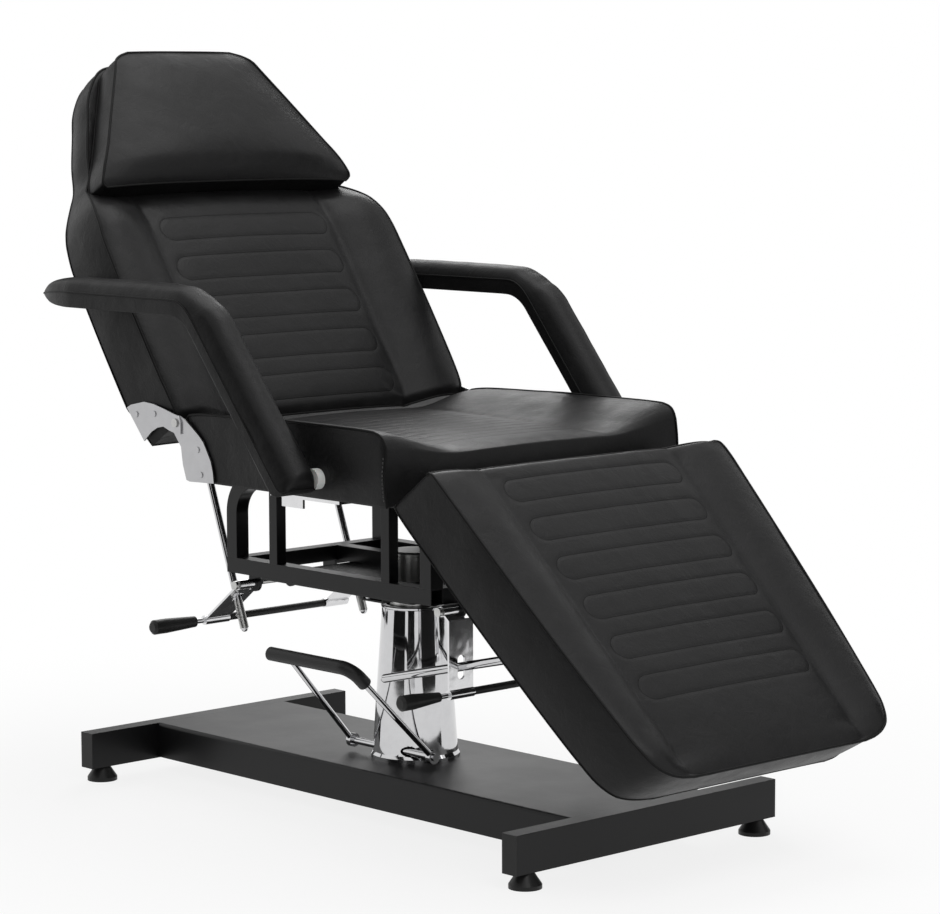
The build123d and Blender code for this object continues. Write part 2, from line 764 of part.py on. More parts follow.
hinge_room = block(leg_hinge_x - ear_radius - notch_play, leg_hinge_x, notch_inner_y, notch_outer_y,
                   seat_bottom - overrun, leg_hinge_z + ear_radius + notch_play)
for room in pair(hinge_room):
    seat_cushion -= room

# Armrest brackets: an angle under the board with its upright plate in the cushion's side
bracket_outer_y = arm_bracket_y + arm_bracket_sheet
foot_bottom = seat_bottom - arm_bracket_foot
arm_bracket = block(arm_bracket_rear_x, arm_bracket_front_x, arm_bracket_foot_y, bracket_outer_y,
                    foot_bottom, seat_bottom)
arm_bracket += block(arm_bracket_plate_rear_x, arm_bracket_front_x, arm_bracket_y, bracket_outer_y,
                     foot_bottom, arm_bracket_top)
arm_bracket += block(arm_lip_rear_x, arm_lip_front_x, bracket_outer_y - arm_bracket_sheet,
                     bracket_outer_y, foot_bottom - arm_lip_drop, foot_bottom)
arm_bracket -= cross_pin(arm_pivot_x, arm_pivot_z, arm_bracket_foot_y, arm_inner_y,
                         arm_bolt_radius + fit)
save("arm_brackets", pair(arm_bracket))

# Bolts that the armrests turn on, and the spacing washers beside the seat
core_inner_y = arm_inner_y + (arm_width - core_thickness) / 2
core_outer_y = core_inner_y + core_thickness
arm_bolt = cross_pin(arm_pivot_x, arm_pivot_z, arm_bracket_y, core_outer_y + arm_bolt_end,
                     arm_bolt_radius)
arm_bolt += cross_pin(arm_pivot_x, arm_pivot_z, arm_bolt_inner_y, arm_bracket_y - fit,
                      arm_bolt_nut_radius)
arm_bolt += cross_pin(arm_pivot_x, arm_pivot_z, arm_bracket_y - arm_bolt_nut, arm_bracket_y,
                      arm_bolt_radius)
save("arm_bolts", pair(arm_bolt))
washer_inner_y = seat_half_width + gap
washer = cross_pin(arm_pivot_x, arm_pivot_z, washer_inner_y, arm_inner_y - gap, washer_radius)
washer -= cross_pin(arm_pivot_x, arm_pivot_z, 0, arm_inner_y + overrun, arm_bolt_radius + fit)
save("arm_washers", pair(washer))

# Hangers under the cross members, each a folded bracket with two cheeks


def hanger(pivot_x, pivot_z, member_x):
    """A folded bracket that carries one pivot bolt."""
    low_x = min(member_x, pivot_x - hanger_round)
    high_x = max(member_x + rail, pivot_x + hanger_round)
    web = block(member_x, member_x + rail, hanger_inner_y, hanger_outer_y,
                frame_bottom - hanger_web, frame_bottom)
    piece = web
    for y in (hanger_inner_y, hanger_outer_y - hanger_cheek):
        cheek = slab([(member_x, frame_bottom), (member_x + rail, frame_bottom),
                      (high_x, frame_bottom - hanger_web), (high_x, pivot_z),
                      (low_x, pivot_z), (low_x, frame_bottom - hanger_web)], y, y + hanger_cheek)
        round_end = cross_pin(pivot_x, pivot_z, y, y + hanger_cheek, hanger_round)
        ceiling = block(low_x, high_x, y, y + hanger_cheek, 0, frame_bottom)
        piece += cheek + (round_end & ceiling)
    bolt_hole = cross_pin(pivot_x, pivot_z, 0, hanger_bolt_outer_y, hanger_bolt_radius + fit)
    return piece - bolt_hole


def hanger_bolt(pivot_x, pivot_z):
    """A pivot bolt with its head outside and a collar inside."""
    bolt = cross_pin(pivot_x, pivot_z, hanger_bolt_inner_y, hanger_bolt_outer_y, hanger_bolt_radius)
    bolt += cross_pin(pivot_x, pivot_z, hanger_bolt_outer_y, hanger_bolt_outer_y + hanger_bolt_head,
                      hanger_bolt_head_radius)
    collar_end = hanger_inner_y - gap
    return bolt + cross_pin(pivot_x, pivot_z, collar_end - hanger_collar_start, collar_end,
                            hanger_collar_radius)


rear_hanger = hanger(rear_pivot_x, rear_pivot_z, frame_rear_x)
front_hanger = hanger(front_pivot_x, front_pivot_z, frame_front_x - rail)
save("release_hangers", pair(rear_hanger) + pair(front_hanger))
save("hanger_bolts", pair(hanger_bolt(rear_pivot_x, rear_pivot_z))
     + pair(hanger_bolt(front_pivot_x, front_pivot_z)))

# Prop rods behind the back and below the leg rest
back_frame = Plane(origin=(hinge_x, 0, hinge_z),
                   x_dir=(-cos(radians(back_angle)), 0, sin(radians(back_angle))),
                   z_dir=(sin(radians(back_angle)), 0, cos(radians(back_angle))))
leg_frame = Plane(origin=(knee_x, 0, knee_z),
                  x_dir=(cos(radians(leg_angle)), 0, -sin(radians(leg_angle))),
                  z_dir=(sin(radians(leg_angle)), 0, cos(radians(leg_angle))))


def along(start, slope, distance):
    """The point at a distance from start down a slope in the XZ plane."""
    length = hypot(*slope)
    return (start[0] + slope[0] / length * distance, start[1] + slope[1] / length * distance)


back_pivot = back_frame.from_local_coords(Vector(back_rod_pivot_s, 0, back_rod_pivot_n))
back_pivot = (back_pivot.X, back_pivot.Z)
back_slope = (back_rod_slope_x, back_rod_slope_z)
back_rod_end = along(back_pivot, back_slope, back_rod_length)
leg_pivot = leg_frame.from_local_coords(Vector(leg_rod_pivot_u, 0, leg_rod_pivot_v))
leg_pivot = (leg_pivot.X, leg_pivot.Z)
leg_slope = (leg_rod_slope_x, leg_rod_slope_z)
leg_rod_end = along(leg_pivot, leg_slope, leg_rod_length)


def prop_rod(pivot, end, radius, eye_radius):
    """A round rod with a cross eye at its pivot and a rounded free end."""
    start_3d = (pivot[0], prop_y, pivot[1])
    end_3d = (end[0], prop_y, end[1])
    shaft = rod(start_3d, end_3d, radius) + Pos(*end_3d) * Sphere(radius)
    shaft += cross_pin(*pivot, prop_y - rod_eye_width / 2, prop_y + rod_eye_width / 2, eye_radius)
    return shaft - cross_pin(*pivot, 0, prop_y * 2, rod_pin_radius + fit)


save("back_prop_rods", pair(prop_rod(back_pivot, back_rod_end, back_rod_radius, rod_eye_radius)))
save("leg_prop_rods", pair(prop_rod(leg_pivot, leg_rod_end, leg_rod_radius, leg_rod_eye_radius)))

# Stop sleeves at the lower ends of the back rods, each with a set screw
sleeve_top = along(back_pivot, back_slope, back_rod_length - stop_sleeve_length)
stop_sleeve = rod((sleeve_top[0], prop_y, sleeve_top[1]), (back_rod_end[0], prop_y, back_rod_end[1]),
                  stop_sleeve_radius)
stop_sleeve -= rod((back_pivot[0], prop_y, back_pivot[1]), (back_rod_end[0], prop_y, back_rod_end[1]),
                   back_rod_radius + fit)
stop_sleeve -= Pos(back_rod_end[0], prop_y, back_rod_end[1]) * Sphere(back_rod_radius + fit)
screw_at = along(back_pivot, back_slope, back_rod_length - stop_sleeve_length / 2)
stop_screw = cross_pin(*screw_at, prop_y + back_rod_radius + fit,
                       prop_y + stop_sleeve_radius + stop_screw_out, stop_screw_radius)
save("rod_stops", pair(stop_sleeve + stop_screw))

# Release levers: plates with rolled eyes, a bar, a sleeve between them and a near grip


def release_plate(route, bar_radius, slot_at, rod_radius, slot_length):
    """A folded plate that follows a route of (x, z) points from its eye to the bar."""
    plate = None
    for number, (start, end) in enumerate(zip(route, route[1:])):
        neck = along(start, (end[0] - start[0], end[1] - start[1]), lever_neck)
        run = strap(start, end, lever_sheet / 2, hanger_outer_y + gap, lever_outer_y)
        wide_start = neck if number == 0 and len(route) == 2 else start
        if number == len(route) - 2:
            run += strap(wide_start, end, lever_sheet / 2, lever_inner_y, lever_outer_y)
        plate = run if plate is None else plate + run
    plate += cross_pin(*route[0], hanger_outer_y + gap, lever_outer_y, lever_eye_radius)
    plate += cross_pin(*route[-1], lever_inner_y, lever_outer_y, bar_radius + lever_sheet)
    plate -= cross_pin(*route[0], 0, hanger_bolt_outer_y, hanger_bolt_radius + fit)
    plate -= cross_pin(*route[-1], 0, hanger_bolt_outer_y, bar_radius + fit)
    half_slot = slot_length / 2 - rod_radius
    run_x, run_z = route[-1][0] - route[-2][0], route[-1][1] - route[-2][1]
    length = hypot(run_x, run_z)
    normal = (-run_z, run_x)
    for share in (-1, 1):
        centre = (slot_at[0] + run_x / length * half_slot * share,
                  slot_at[1] + run_z / length * half_slot * share)
        first = along(centre, normal, -rod_radius)
        last = along(centre, normal, rod_radius)
        plate -= rod((first[0], prop_y, first[1]), (last[0], prop_y, last[1]),
                     rod_radius + slot_play)
    corners = []
    for end_share, normal_share in ((-1, -1), (1, -1), (1, 1), (-1, 1)):
        x = slot_at[0] + (run_x * end_share * half_slot - run_z * normal_share * rod_radius) / length
        z = slot_at[1] + (run_z * end_share * half_slot + run_x * normal_share * rod_radius) / length
        corners.append((x, z))
    width = rod_radius + slot_play
    return plate - slab(corners, prop_y - width, prop_y + width)


def release_bar(x, z, radius, grip_length):
    """The cross bar, its middle sleeve and the handle grip, which hides the bar's end."""
    grip_outer_y = grip_inner_y + grip_length
    bar = cross_pin(x, z, grip_end_wall - grip_outer_y, lever_outer_y + bar_sleeve_inset, radius)
    sleeve_end = lever_inner_y - gap
    sleeve = cross_pin(x, z, -sleeve_end, sleeve_end, bar_sleeve_radius)
    sleeve -= cross_pin(x, z, -lever_outer_y, lever_outer_y, radius + fit)
    return bar, sleeve


def release_grip(x, z, bar_radius, neck_radius, grip_length):
    """A tapered handle grip, wider at its outer end."""
    outer_y = -grip_inner_y - grip_length
    outline = [(0, outer_y), (grip_radius - grip_round, outer_y), (grip_radius, outer_y + grip_round),
               (grip_radius, outer_y + grip_length / 3), (neck_radius, -grip_inner_y), (0, -grip_inner_y)]
    face = Face(Wire.make_polygon([(x + radius, y, z) for radius, y in outline], close=True))
    grip = revolve(face, axis=Axis((x, 0, z), (0, 1, 0)))
    return grip - cross_pin(x, z, outer_y + grip_end_wall, 0, bar_radius + fit)


def crossing(start, slope, point, run):
    """Where a line down a slope from start meets a line along run through point."""
    denominator = slope[0] * run[1] - slope[1] * run[0]
    share = ((point[0] - start[0]) * run[1] - (point[1] - start[1]) * run[0]) / denominator
    return (start[0] + slope[0] * share, start[1] + slope[1] * share)


rear_run = (rear_bar_x - rear_pivot_x, rear_bar_z - rear_pivot_z)
rear_slot_at = crossing(back_pivot, back_slope, (rear_pivot_x, rear_pivot_z), rear_run)
rear_plate = release_plate([(rear_pivot_x, rear_pivot_z), (rear_bar_x, rear_bar_z)], rear_bar_radius,
                           rear_slot_at, back_rod_radius, rear_slot_length)
rear_bar, rear_sleeve = release_bar(rear_bar_x, rear_bar_z, rear_bar_radius, rear_grip_length)
save("rear_release_plates", pair(rear_plate))
save("rear_release_bar", rear_bar)
save("rear_bar_sleeve", rear_sleeve)
save("rear_grip", release_grip(rear_bar_x, rear_bar_z, rear_bar_radius, rear_grip_neck,
                               rear_grip_length))

front_run = (0, front_bar_z - front_pivot_z)
front_slot_at = crossing(leg_pivot, leg_slope, (front_bar_x, front_bar_z), front_run)
front_plate = release_plate([(front_pivot_x, front_pivot_z), (front_bar_x, front_bend_z),
                             (front_bar_x, front_bar_z)], front_bar_radius, front_slot_at,
                            leg_rod_radius, front_slot_length)
front_bar, front_sleeve = release_bar(front_bar_x, front_bar_z, front_bar_radius, front_grip_length)
save("front_release_plates", pair(front_plate))
save("front_release_bar", front_bar)
save("front_bar_sleeve", front_sleeve)
save("front_grip", release_grip(front_bar_x, front_bar_z, front_bar_radius, front_grip_neck,
                                front_grip_length))

# Rod brackets: a foot on the board, two cheeks and the pivot pin


def rod_bracket(pivot_x, pivot_z, board_z, foot_length):
    """A bracket in its cushion's own frame, below a board whose underside is at board_z."""
    cheek_y = prop_y + rod_eye_width / 2 + gap
    outer_y = cheek_y + bracket_sheet
    foot = block(pivot_x - foot_length / 2, pivot_x + foot_length / 2,
                 prop_y * 2 - outer_y - bracket_foot_flange, outer_y + bracket_foot_flange,
                 board_z - bracket_sheet, board_z)
    piece = foot
    for y in (cheek_y, prop_y * 2 - outer_y):
        cheek = slab([(pivot_x - foot_length / 3, board_z - bracket_sheet),
                      (pivot_x + foot_length / 3, board_z - bracket_sheet),
                      (pivot_x + rod_eye_radius, pivot_z), (pivot_x - rod_eye_radius, pivot_z)],
                     y, y + bracket_sheet)
        piece += cheek + cross_pin(pivot_x, pivot_z, y, y + bracket_sheet, rod_eye_radius)
    piece -= cross_pin(pivot_x, pivot_z, 0, prop_y * 2, rod_pin_radius + fit)
    pin = cross_pin(pivot_x, pivot_z, prop_y * 2 - outer_y - rod_pin_head, outer_y + rod_pin_head,
                    rod_pin_radius)
    for y in (outer_y, prop_y * 2 - outer_y - rod_pin_head):
        pin += cross_pin(pivot_x, pivot_z, y, y + rod_pin_head, rod_pin_head_radius)
    return piece, pin


back_bracket, back_bracket_pin = rod_bracket(back_rod_pivot_s, back_rod_pivot_n, -back_depth,
                                             bracket_foot_length)
leg_bracket, leg_bracket_pin = rod_bracket(leg_rod_pivot_u, leg_rod_pivot_v, -leg_depth,
                                           bracket_foot_length)
back_bracket_set = pair(back_bracket) + pair(back_bracket_pin)
leg_bracket_set = pair(leg_bracket) + pair(leg_bracket_pin)
save("back_rod_brackets", [back_frame.location * piece for piece in back_bracket_set])
save("leg_rod_brackets", [leg_frame.location * piece for piece in leg_bracket_set])

# Backrest cushion: shares of its length, half width and depth, from the hinge to the head
# Each row is s, half width, underside, side edge, bolster top, valley and middle
back_shares = (
    (0.011, 0.962, 0.160, 0.880, 0.960, 0.800, 0.840),
    (0.020, 0.978, 0.130, 0.980, 1.080, 0.860, 0.910),
    (0.056, 0.984, 0.120, 1.020, 1.140, 0.880, 0.940),
    (0.112, 0.991, 0.000, 1.020, 1.140, 0.880, 0.940),
    (0.260, 1.000, 0.000, 1.020, 1.140, 0.880, 0.940),
    (0.400, 1.000, 0.000, 1.020, 1.140, 0.880, 0.940),
    (0.490, 0.988, 0.000, 1.015, 1.130, 0.880, 0.940),
    (0.545, 0.960, 0.000, 0.970, 1.080, 0.860, 0.910),
    (0.604, 0.896, 0.000, 0.780, 0.880, 0.700, 0.730),
    (0.655, 0.815, 0.000, 0.540, 0.600, 0.550, 0.570),
    (0.747, 0.730, 0.000, 0.520, 0.570, 0.550, 0.570),
    (0.840, 0.644, 0.000, 0.520, 0.570, 0.550, 0.570),
    (0.932, 0.530, 0.000, 0.520, 0.570, 0.550, 0.570),
    (0.979, 0.430, 0.020, 0.500, 0.560, 0.540, 0.560),
    (0.995, 0.360, 0.080, 0.460, 0.520, 0.500, 0.520),
    (1.000, 0.310, 0.160, 0.400, 0.450, 0.440, 0.450),
)
back_faces = []
for s, half, low, edge, bolster, valley, middle in back_shares:
    depths = [back_depth * (share - 1) for share in (low, edge, bolster, valley, middle)]
    back_faces.append(cushion_section(back_length * s, 0, back_half_width * half, *depths))
back_cushion = loft(back_faces)
back_cushion -= block(-back_length, back_length * 2, -back_length, back_length, -back_length,
                      -back_depth)
back_middle_half = back_half_width * (1 - bolster_share) - stadium_side_inset
back_seams = []
for number in range(back_stadium_count):
    s = back_stadium_first + back_stadium_pitch * number
    back_seams.append(stadium_ring(s, back_middle_half, back_stadium_width))
back_cushion = stitched(back_cushion, back_seams, back_depth * 2)
back_cushion -= block(head_start, back_length + overrun, -back_half_width, back_half_width,
                      -head_depth, back_depth)
back_board_outline_shares = ((0, 0.91), (0.50, 0.90), (0.76, 0.66), (1, 0.34))
back_board_span = back_board_end - back_board_start
back_board_points = [(back_board_start + back_board_span * s, back_half_width * y)
                     for s, y in back_board_outline_shares]
back_board_points += [(x, -y) for x, y in reversed(back_board_points)]
back_board = sheet(back_board_points, -back_depth, board - back_depth)
back_cushion -= sheet(back_board_points, -back_depth - overrun, board - back_depth)

# Chrome hinge covers, as shares of one size, measured from the hinge in the chair's own frame
back_cover_shares = (
    (-0.97, 0.12), (-0.89, 0.16), (-0.62, 0.215), (-0.43, 0.20), (-0.24, 0.16), (-0.06, 0.115),
    (0.05, 0.09), (0.10, 0.02), (0.10, -0.13), (-0.02, -0.125), (-0.13, -0.10), (-0.24, -0.062),
    (-0.36, -0.085), (-0.48, -0.146), (-0.63, -0.27),
)
seat_cover_shares = (
    (0.06, 0.085), (0.19, 0.03), (0.32, -0.054), (0.43, -0.13), (0.51, -0.20), (0.575, -0.30),
    (0.65, -0.42), (0.69, -0.55), (0.707, -0.685), (0.24, -0.70), (0.177, -0.685), (0.11, -0.50),
    (0.077, -0.285), (-0.04, -0.15), (-0.10, -0.06), (-0.10, 0.04), (-0.03, 0.09),
)


def cover(shares, inner_y, outer_y):
    """One hinge cover plate beside the hinge."""
    points = [(hinge_x + cover_size * x, hinge_z + cover_size * z) for x, z in shares]
    return slab(points, inner_y, outer_y)


back_cover = cover(back_cover_shares, back_cover_y, back_cover_y + cover_thickness)
back_cover -= cross_pin(hinge_x, hinge_z, 0, arm_inner_y, recline_pin_radius + fit)
seat_cover = cover(seat_cover_shares, seat_cover_y, seat_cover_y + cover_thickness)
seat_cover -= cross_pin(hinge_x, hinge_z, 0, arm_inner_y, recline_pin_radius + fit)
back_screw_shares = ((-0.78, 0.05), (-0.42, 0.08))
seat_screw_shares = ((0.40, -0.30), (0.46, -0.60))
cover_screws_back = []
cover_screws_seat = []
for x_share, z_share in back_screw_shares:
    x, z = hinge_x + cover_size * x_share, hinge_z + cover_size * z_share
    outer_y = back_cover_y + cover_thickness
    screw = cross_pin(x, z, outer_y - cover_screw_sink, outer_y, cover_screw_radius)
    screw += cross_pin(x, z, outer_y, outer_y + cover_screw_head, cover_screw_head_radius)
    cover_screws_back += pair(screw)
    back_cover -= cross_pin(x, z, 0, arm_inner_y, cover_screw_radius + fit)
for x_share, z_share in seat_screw_shares:
    x, z = hinge_x + cover_size * x_share, hinge_z + cover_size * z_share
    outer_y = seat_cover_y + cover_thickness
    screw = cross_pin(x, z, outer_y - cover_screw_sink, outer_y, cover_screw_radius)
    screw += cross_pin(x, z, outer_y, outer_y + cover_screw_head, cover_screw_head_radius)
    cover_screws_seat += pair(screw)
    seat_cover -= cross_pin(x, z, 0, arm_inner_y, cover_screw_radius + fit)


def cover_pocket(shares, inner_y):
    """The room that a cover takes in a cushion's side, with a little play round it."""
    points = [(hinge_x + cover_size * x, hinge_z + cover_size * z) for x, z in shares]
    face = Face(Wire.make_polygon([(x, inner_y, z) for x, z in points], close=True))
    face = offset(face, amount=gap * 2)
    return extrude(face, amount=arm_inner_y - inner_y, dir=(0, 1, 0))


def screw_rooms(places, inner_y):
    """The holes that the cover screws take in a cushion's side."""
    rooms = []
    for x_share, z_share in places:
        x, z = hinge_x + cover_size * x_share, hinge_z + cover_size * z_share
        rooms += pair(cross_pin(x, z, inner_y - cover_screw_sink, inner_y + cover_thickness,
                                cover_screw_radius + fit))
    return rooms


back_cushion = back_frame.location * back_cushion
for room in pair(cover_pocket(back_cover_shares, back_cover_y - gap)):
    back_cushion -= room
for room in screw_rooms(back_screw_shares, back_cover_y):
    back_cushion -= room
for room in screw_rooms(seat_screw_shares, seat_cover_y):
    seat_cushion -= room
save("seat_cushion", seat_cushion)
save("back_cushion", back_cushion)
save("back_board", back_frame.location * back_board)
save("back_hinge_covers", pair(back_cover) + cover_screws_back)
save("seat_hinge_covers", pair(seat_cover) + cover_screws_seat)

# Recline pins through both covers on each side
pin_outer_y = back_cover_y + cover_thickness
recline_pin = cross_pin(hinge_x, hinge_z, seat_cover_y - recline_pin_tail, pin_outer_y + gap,
                        recline_pin_radius)
recline_pin += cross_pin(hinge_x, hinge_z, pin_outer_y + gap, pin_outer_y + gap + recline_pin_head,
                         recline_pin_head_radius)
recline_pin += cross_pin(hinge_x, hinge_z, seat_cover_y - recline_pin_tail,
                         seat_cover_y - recline_pin_tail + recline_pin_head, recline_pin_head_radius)

# Head pillow: shares of its length, half width and height, from its lower edge to the top
# Each row is s, half width, underside, side edge and crown
pillow_shares = (
    (0.000, 0.950, 0.080, 0.350, 0.480),
    (0.015, 0.990, 0.004, 0.490, 0.660),
    (0.070, 1.000, 0.004, 0.590, 0.830),
    (0.225, 0.915, 0.004, 0.630, 0.990),
    (0.380, 0.840, 0.004, 0.630, 0.950),
    (0.610, 0.718, 0.004, 0.630, 0.880),
    (0.840, 0.595, 0.004, 0.625, 0.810),
    (0.955, 0.500, 0.004, 0.580, 0.710),
    (0.989, 0.446, 0.040, 0.445, 0.535),
    (1.000, 0.400, 0.100, 0.310, 0.355),
)
pillow_faces = []
for s, half, low, edge, crown in pillow_shares:
    heights = [pillow_height * share - head_depth for share in (low, edge, crown)]
    pillow_faces.append(pillow_section(pillow_start + pillow_length * s, pillow_half_width * half,
                                       *heights))
head_pillow = loft(pillow_faces)
head_pillow -= block(0, back_length * 2, -back_length, back_length, -back_length, gap - head_depth)
save("head_pillow", back_frame.location * head_pillow)

# Leg rest cushion: shares of its length, half width and depth, from the knee to the foot
# Each row is u, the lean of the knee face, half width, underside, side edge, bolster top, valley, middle
leg_shares = (
    (0.000, 0.170, 0.974, 0.080, 0.860, 0.920, 0.780, 0.800),
    (0.010, 0.170, 0.994, 0.010, 0.980, 1.080, 0.860, 0.900),
    (0.040, 0.155, 1.000, 0.000, 1.020, 1.140, 0.880, 0.940),
    (0.100, 0.120, 0.994, 0.000, 1.020, 1.140, 0.880, 0.940),
    (0.180, 0.060, 0.983, 0.000, 1.020, 1.140, 0.880, 0.940),
    (0.290, 0.000, 0.968, 0.000, 1.020, 1.140, 0.880, 0.940),
    (0.410, 0.000, 0.949, 0.000, 1.020, 1.140, 0.880, 0.940),
    (0.530, 0.000, 0.929, 0.000, 1.020, 1.140, 0.880, 0.940),
    (0.650, 0.000, 0.905, 0.000, 1.020, 1.140, 0.880, 0.940),
    (0.770, 0.000, 0.879, 0.000, 1.020, 1.130, 0.880, 0.935),
    (0.850, 0.000, 0.859, 0.000, 1.015, 1.120, 0.883, 0.932),
    (0.900, 0.000, 0.843, 0.030, 1.010, 1.110, 0.885, 0.930),
    (0.940, 0.000, 0.813, 0.120, 1.000, 1.075, 0.885, 0.920),
    (0.965, 0.000, 0.771, 0.310, 0.985, 1.040, 0.885, 0.910),
    (0.985, 0.000, 0.690, 0.560, 0.955, 0.990, 0.875, 0.895),
    (1.000, 0.000, 0.565, 0.800, 0.895, 0.910, 0.855, 0.870),
)
leg_faces = []
for u, lean, half, low, edge, bolster, valley, middle in leg_shares:
    depths = [leg_depth * (share - 1) for share in (low, edge, bolster, valley, middle)]
    leg_faces.append(cushion_section(leg_length * u, lean, leg_half_width * half, *depths))
leg_cushion = loft(leg_faces)
leg_cushion -= block(-leg_length, leg_length * 2, -leg_length, leg_length, -leg_length, -leg_depth)
leg_middle_taper_share = 0.09
leg_middle_half = leg_half_width * (1 - bolster_share) - stadium_side_inset
leg_seams = []
for number in range(leg_stadium_count):
    u = leg_stadium_first + leg_stadium_pitch * number
    half = leg_middle_half * (1 - leg_middle_taper_share * u / leg_length)
    leg_seams.append(stadium_ring(u, half, leg_stadium_width))
leg_cushion = stitched(leg_cushion, leg_seams, leg_depth * 2)
leg_board_outline_shares = ((0, 0.92), (1, 0.84))
leg_board_span = leg_board_end - leg_board_start
leg_board_points = [(leg_board_start + leg_board_span * u, leg_half_width * y)
                    for u, y in leg_board_outline_shares]
leg_board_points += [(x, -y) for x, y in reversed(leg_board_points)]
leg_board = sheet(leg_board_points, -leg_depth, board - leg_depth)
leg_cushion -= sheet(leg_board_points, -leg_depth - overrun, board - leg_depth)
leg_hinge = leg_frame.to_local_coords(Vector(leg_hinge_x, 0, leg_hinge_z))
notch = block(-leg_depth, leg_board_start, notch_inner_y, notch_outer_y,
              -leg_depth - notch_height, notch_height - leg_depth)
for room in pair(notch):
    leg_cushion -= room
save("leg_cushion", leg_frame.location * leg_cushion)
save("leg_board", leg_frame.location * leg_board)

# Leg rest hinge: ears on the frame, leaves under the leg board and the pins between them
ear = strap((ear_elbow_x, ear_elbow_z), (leg_hinge_x, leg_hinge_z), ear_strap_radius,
            ear_inner_y, ear_inner_y + ear_sheet)
ear += block(frame_front_x, ear_elbow_x, ear_inner_y, ear_inner_y + ear_sheet,
             ear_elbow_z - ear_strap_radius, ear_elbow_z + ear_strap_radius)
ear += cross_pin(leg_hinge_x, leg_hinge_z, ear_inner_y, ear_inner_y + ear_sheet, ear_radius)
ear -= cross_pin(leg_hinge_x, leg_hinge_z, 0, leg_half_width, leg_pin_radius + fit)
save("leg_hinge_ears", pair(ear))
leaf_y = ear_inner_y + ear_sheet + gap
leaf_outer_y = leaf_y + ear_sheet
leaf_low = -leg_depth - leaf_foot_sheet - leaf_strap_radius
leaf = strap((leg_hinge.X, leg_hinge.Z), (0, leaf_low), leaf_strap_radius, leaf_y, leaf_outer_y)
leaf += strap((0, leaf_low), (leg_board_start + leaf_foot_length, leaf_low), leaf_strap_radius,
              leaf_y, leaf_outer_y)
leaf += cross_pin(leg_hinge.X, leg_hinge.Z, leaf_y, leaf_outer_y, ear_radius)
leaf += block(leg_board_start, leg_board_start + leaf_foot_length, leaf_y, leaf_y + leaf_foot_width,
              -leg_depth - leaf_foot_sheet, -leg_depth)
leaf -= cross_pin(leg_hinge.X, leg_hinge.Z, 0, leg_half_width, leg_pin_radius + fit)
save("leg_hinge_leaves", [leg_frame.location * piece for piece in pair(leaf)])
leg_pin = cross_pin(leg_hinge_x, leg_hinge_z, ear_inner_y - leg_pin_head, leaf_outer_y + leg_pin_head,
                    leg_pin_radius)
for y in (ear_inner_y - leg_pin_head, leaf_outer_y):
    leg_pin += cross_pin(leg_hinge_x, leg_hinge_z, y, y + leg_pin_head, leg_pin_head_radius)
save("hinge_pins", pair(recline_pin) + pair(leg_pin))

# Armrests: a padded arm that bends down to its pivot, round a flat steel core
arm_centre_y = arm_inner_y + arm_width / 2
arm_run = (arm_pivot_x - arm_corner_x, arm_pivot_z - arm_top_z)
arm_low = along((arm_corner_x, arm_top_z), arm_run, hypot(*arm_run) + arm_half_height * 2)
arm_full_x = arm_tip_x + arm_tip_length


def arm_section(x, width, low, side, crown):
    """A cross section of the armrest: flat below, upright sides and a crowned top."""
    half = width / 2
    outline = [
        [(-half, low), (half, low)],
        [(half, low), (half, side)],
        [(half, side), (0, crown), (-half, side)],
        [(-half, side), (-half, low)],
    ]
    return section_face(x, 0, outline)


full_section = arm_section(arm_full_x, arm_width, -arm_half_height,
                           arm_side_height - arm_half_height, arm_half_height)
arm_path = FilletPolyline((arm_full_x, 0, 0), (arm_corner_x, 0, 0),
                          (arm_low[0], 0, arm_low[1] - arm_top_z), radius=arm_bend_radius)
arm_body = sweep(full_section, path=arm_path)
foot_x, foot_z = along((arm_pivot_x, arm_pivot_z - arm_top_z), arm_run, -arm_end_rise)
foot_turn = rod((foot_x, -arm_width, foot_z), (foot_x, arm_width, foot_z), arm_half_height)
elbow_side = degrees(atan2(arm_run[1], arm_run[0]))
keep = Plane(origin=(foot_x, 0, foot_z),
             x_dir=(cos(radians(elbow_side)), 0, sin(radians(elbow_side))),
             z_dir=(0, -1, 0)).location
reach = base_length
arm_end = keep * block(0, reach, -reach, reach, -reach, reach)
arm_body = (arm_body - arm_end) + (arm_body & foot_turn)
# Each row is the share along the tip, of the width, the height, the side and the crown
arm_tip_shares = (
    (0.00, 0.24, -0.62, -0.38, -0.18),
    (0.05, 0.50, -0.84, -0.20, 0.20),
    (0.18, 0.76, -0.95, -0.02, 0.62),
    (0.45, 0.95, -1.00, 0.08, 0.92),
    (1.00, 1.00, -1.00, 0.0943, 1.00),
)
tip_faces = []
for x, width, low, side, crown in arm_tip_shares:
    heights = [arm_half_height * share for share in (low, side, crown)]
    tip_faces.append(arm_section(arm_tip_x + arm_tip_length * x, arm_width * width, *heights))
tip_faces[-1] = full_section
arm_pad = Pos(0, arm_centre_y, arm_top_z) * (arm_body + loft(tip_faces))
core_path = FilletPolyline((core_start_x, 0, 0), (arm_corner_x, 0, 0),
                           (arm_pivot_x, 0, arm_pivot_z - arm_top_z), radius=arm_bend_radius)
core_plane = Plane(origin=(core_start_x, 0, 0), x_dir=(0, 1, 0), z_dir=(1, 0, 0))
arm_core = sweep(core_plane * Rectangle(core_thickness, core_height), path=core_path)
arm_core = Pos(0, arm_centre_y, arm_top_z) * arm_core
arm_core += cross_pin(arm_pivot_x, arm_pivot_z, core_inner_y, core_outer_y, core_height / 2)
arm_pad -= arm_core
arm_pad -= cross_pin(arm_pivot_x, arm_pivot_z, arm_inner_y - overrun,
                     core_outer_y + arm_bolt_end + gap, arm_bolt_radius + gap)
arm_core -= cross_pin(arm_pivot_x, arm_pivot_z, 0, arm_inner_y + arm_width, arm_bolt_radius + fit)
save("arm_pad_left", arm_pad)
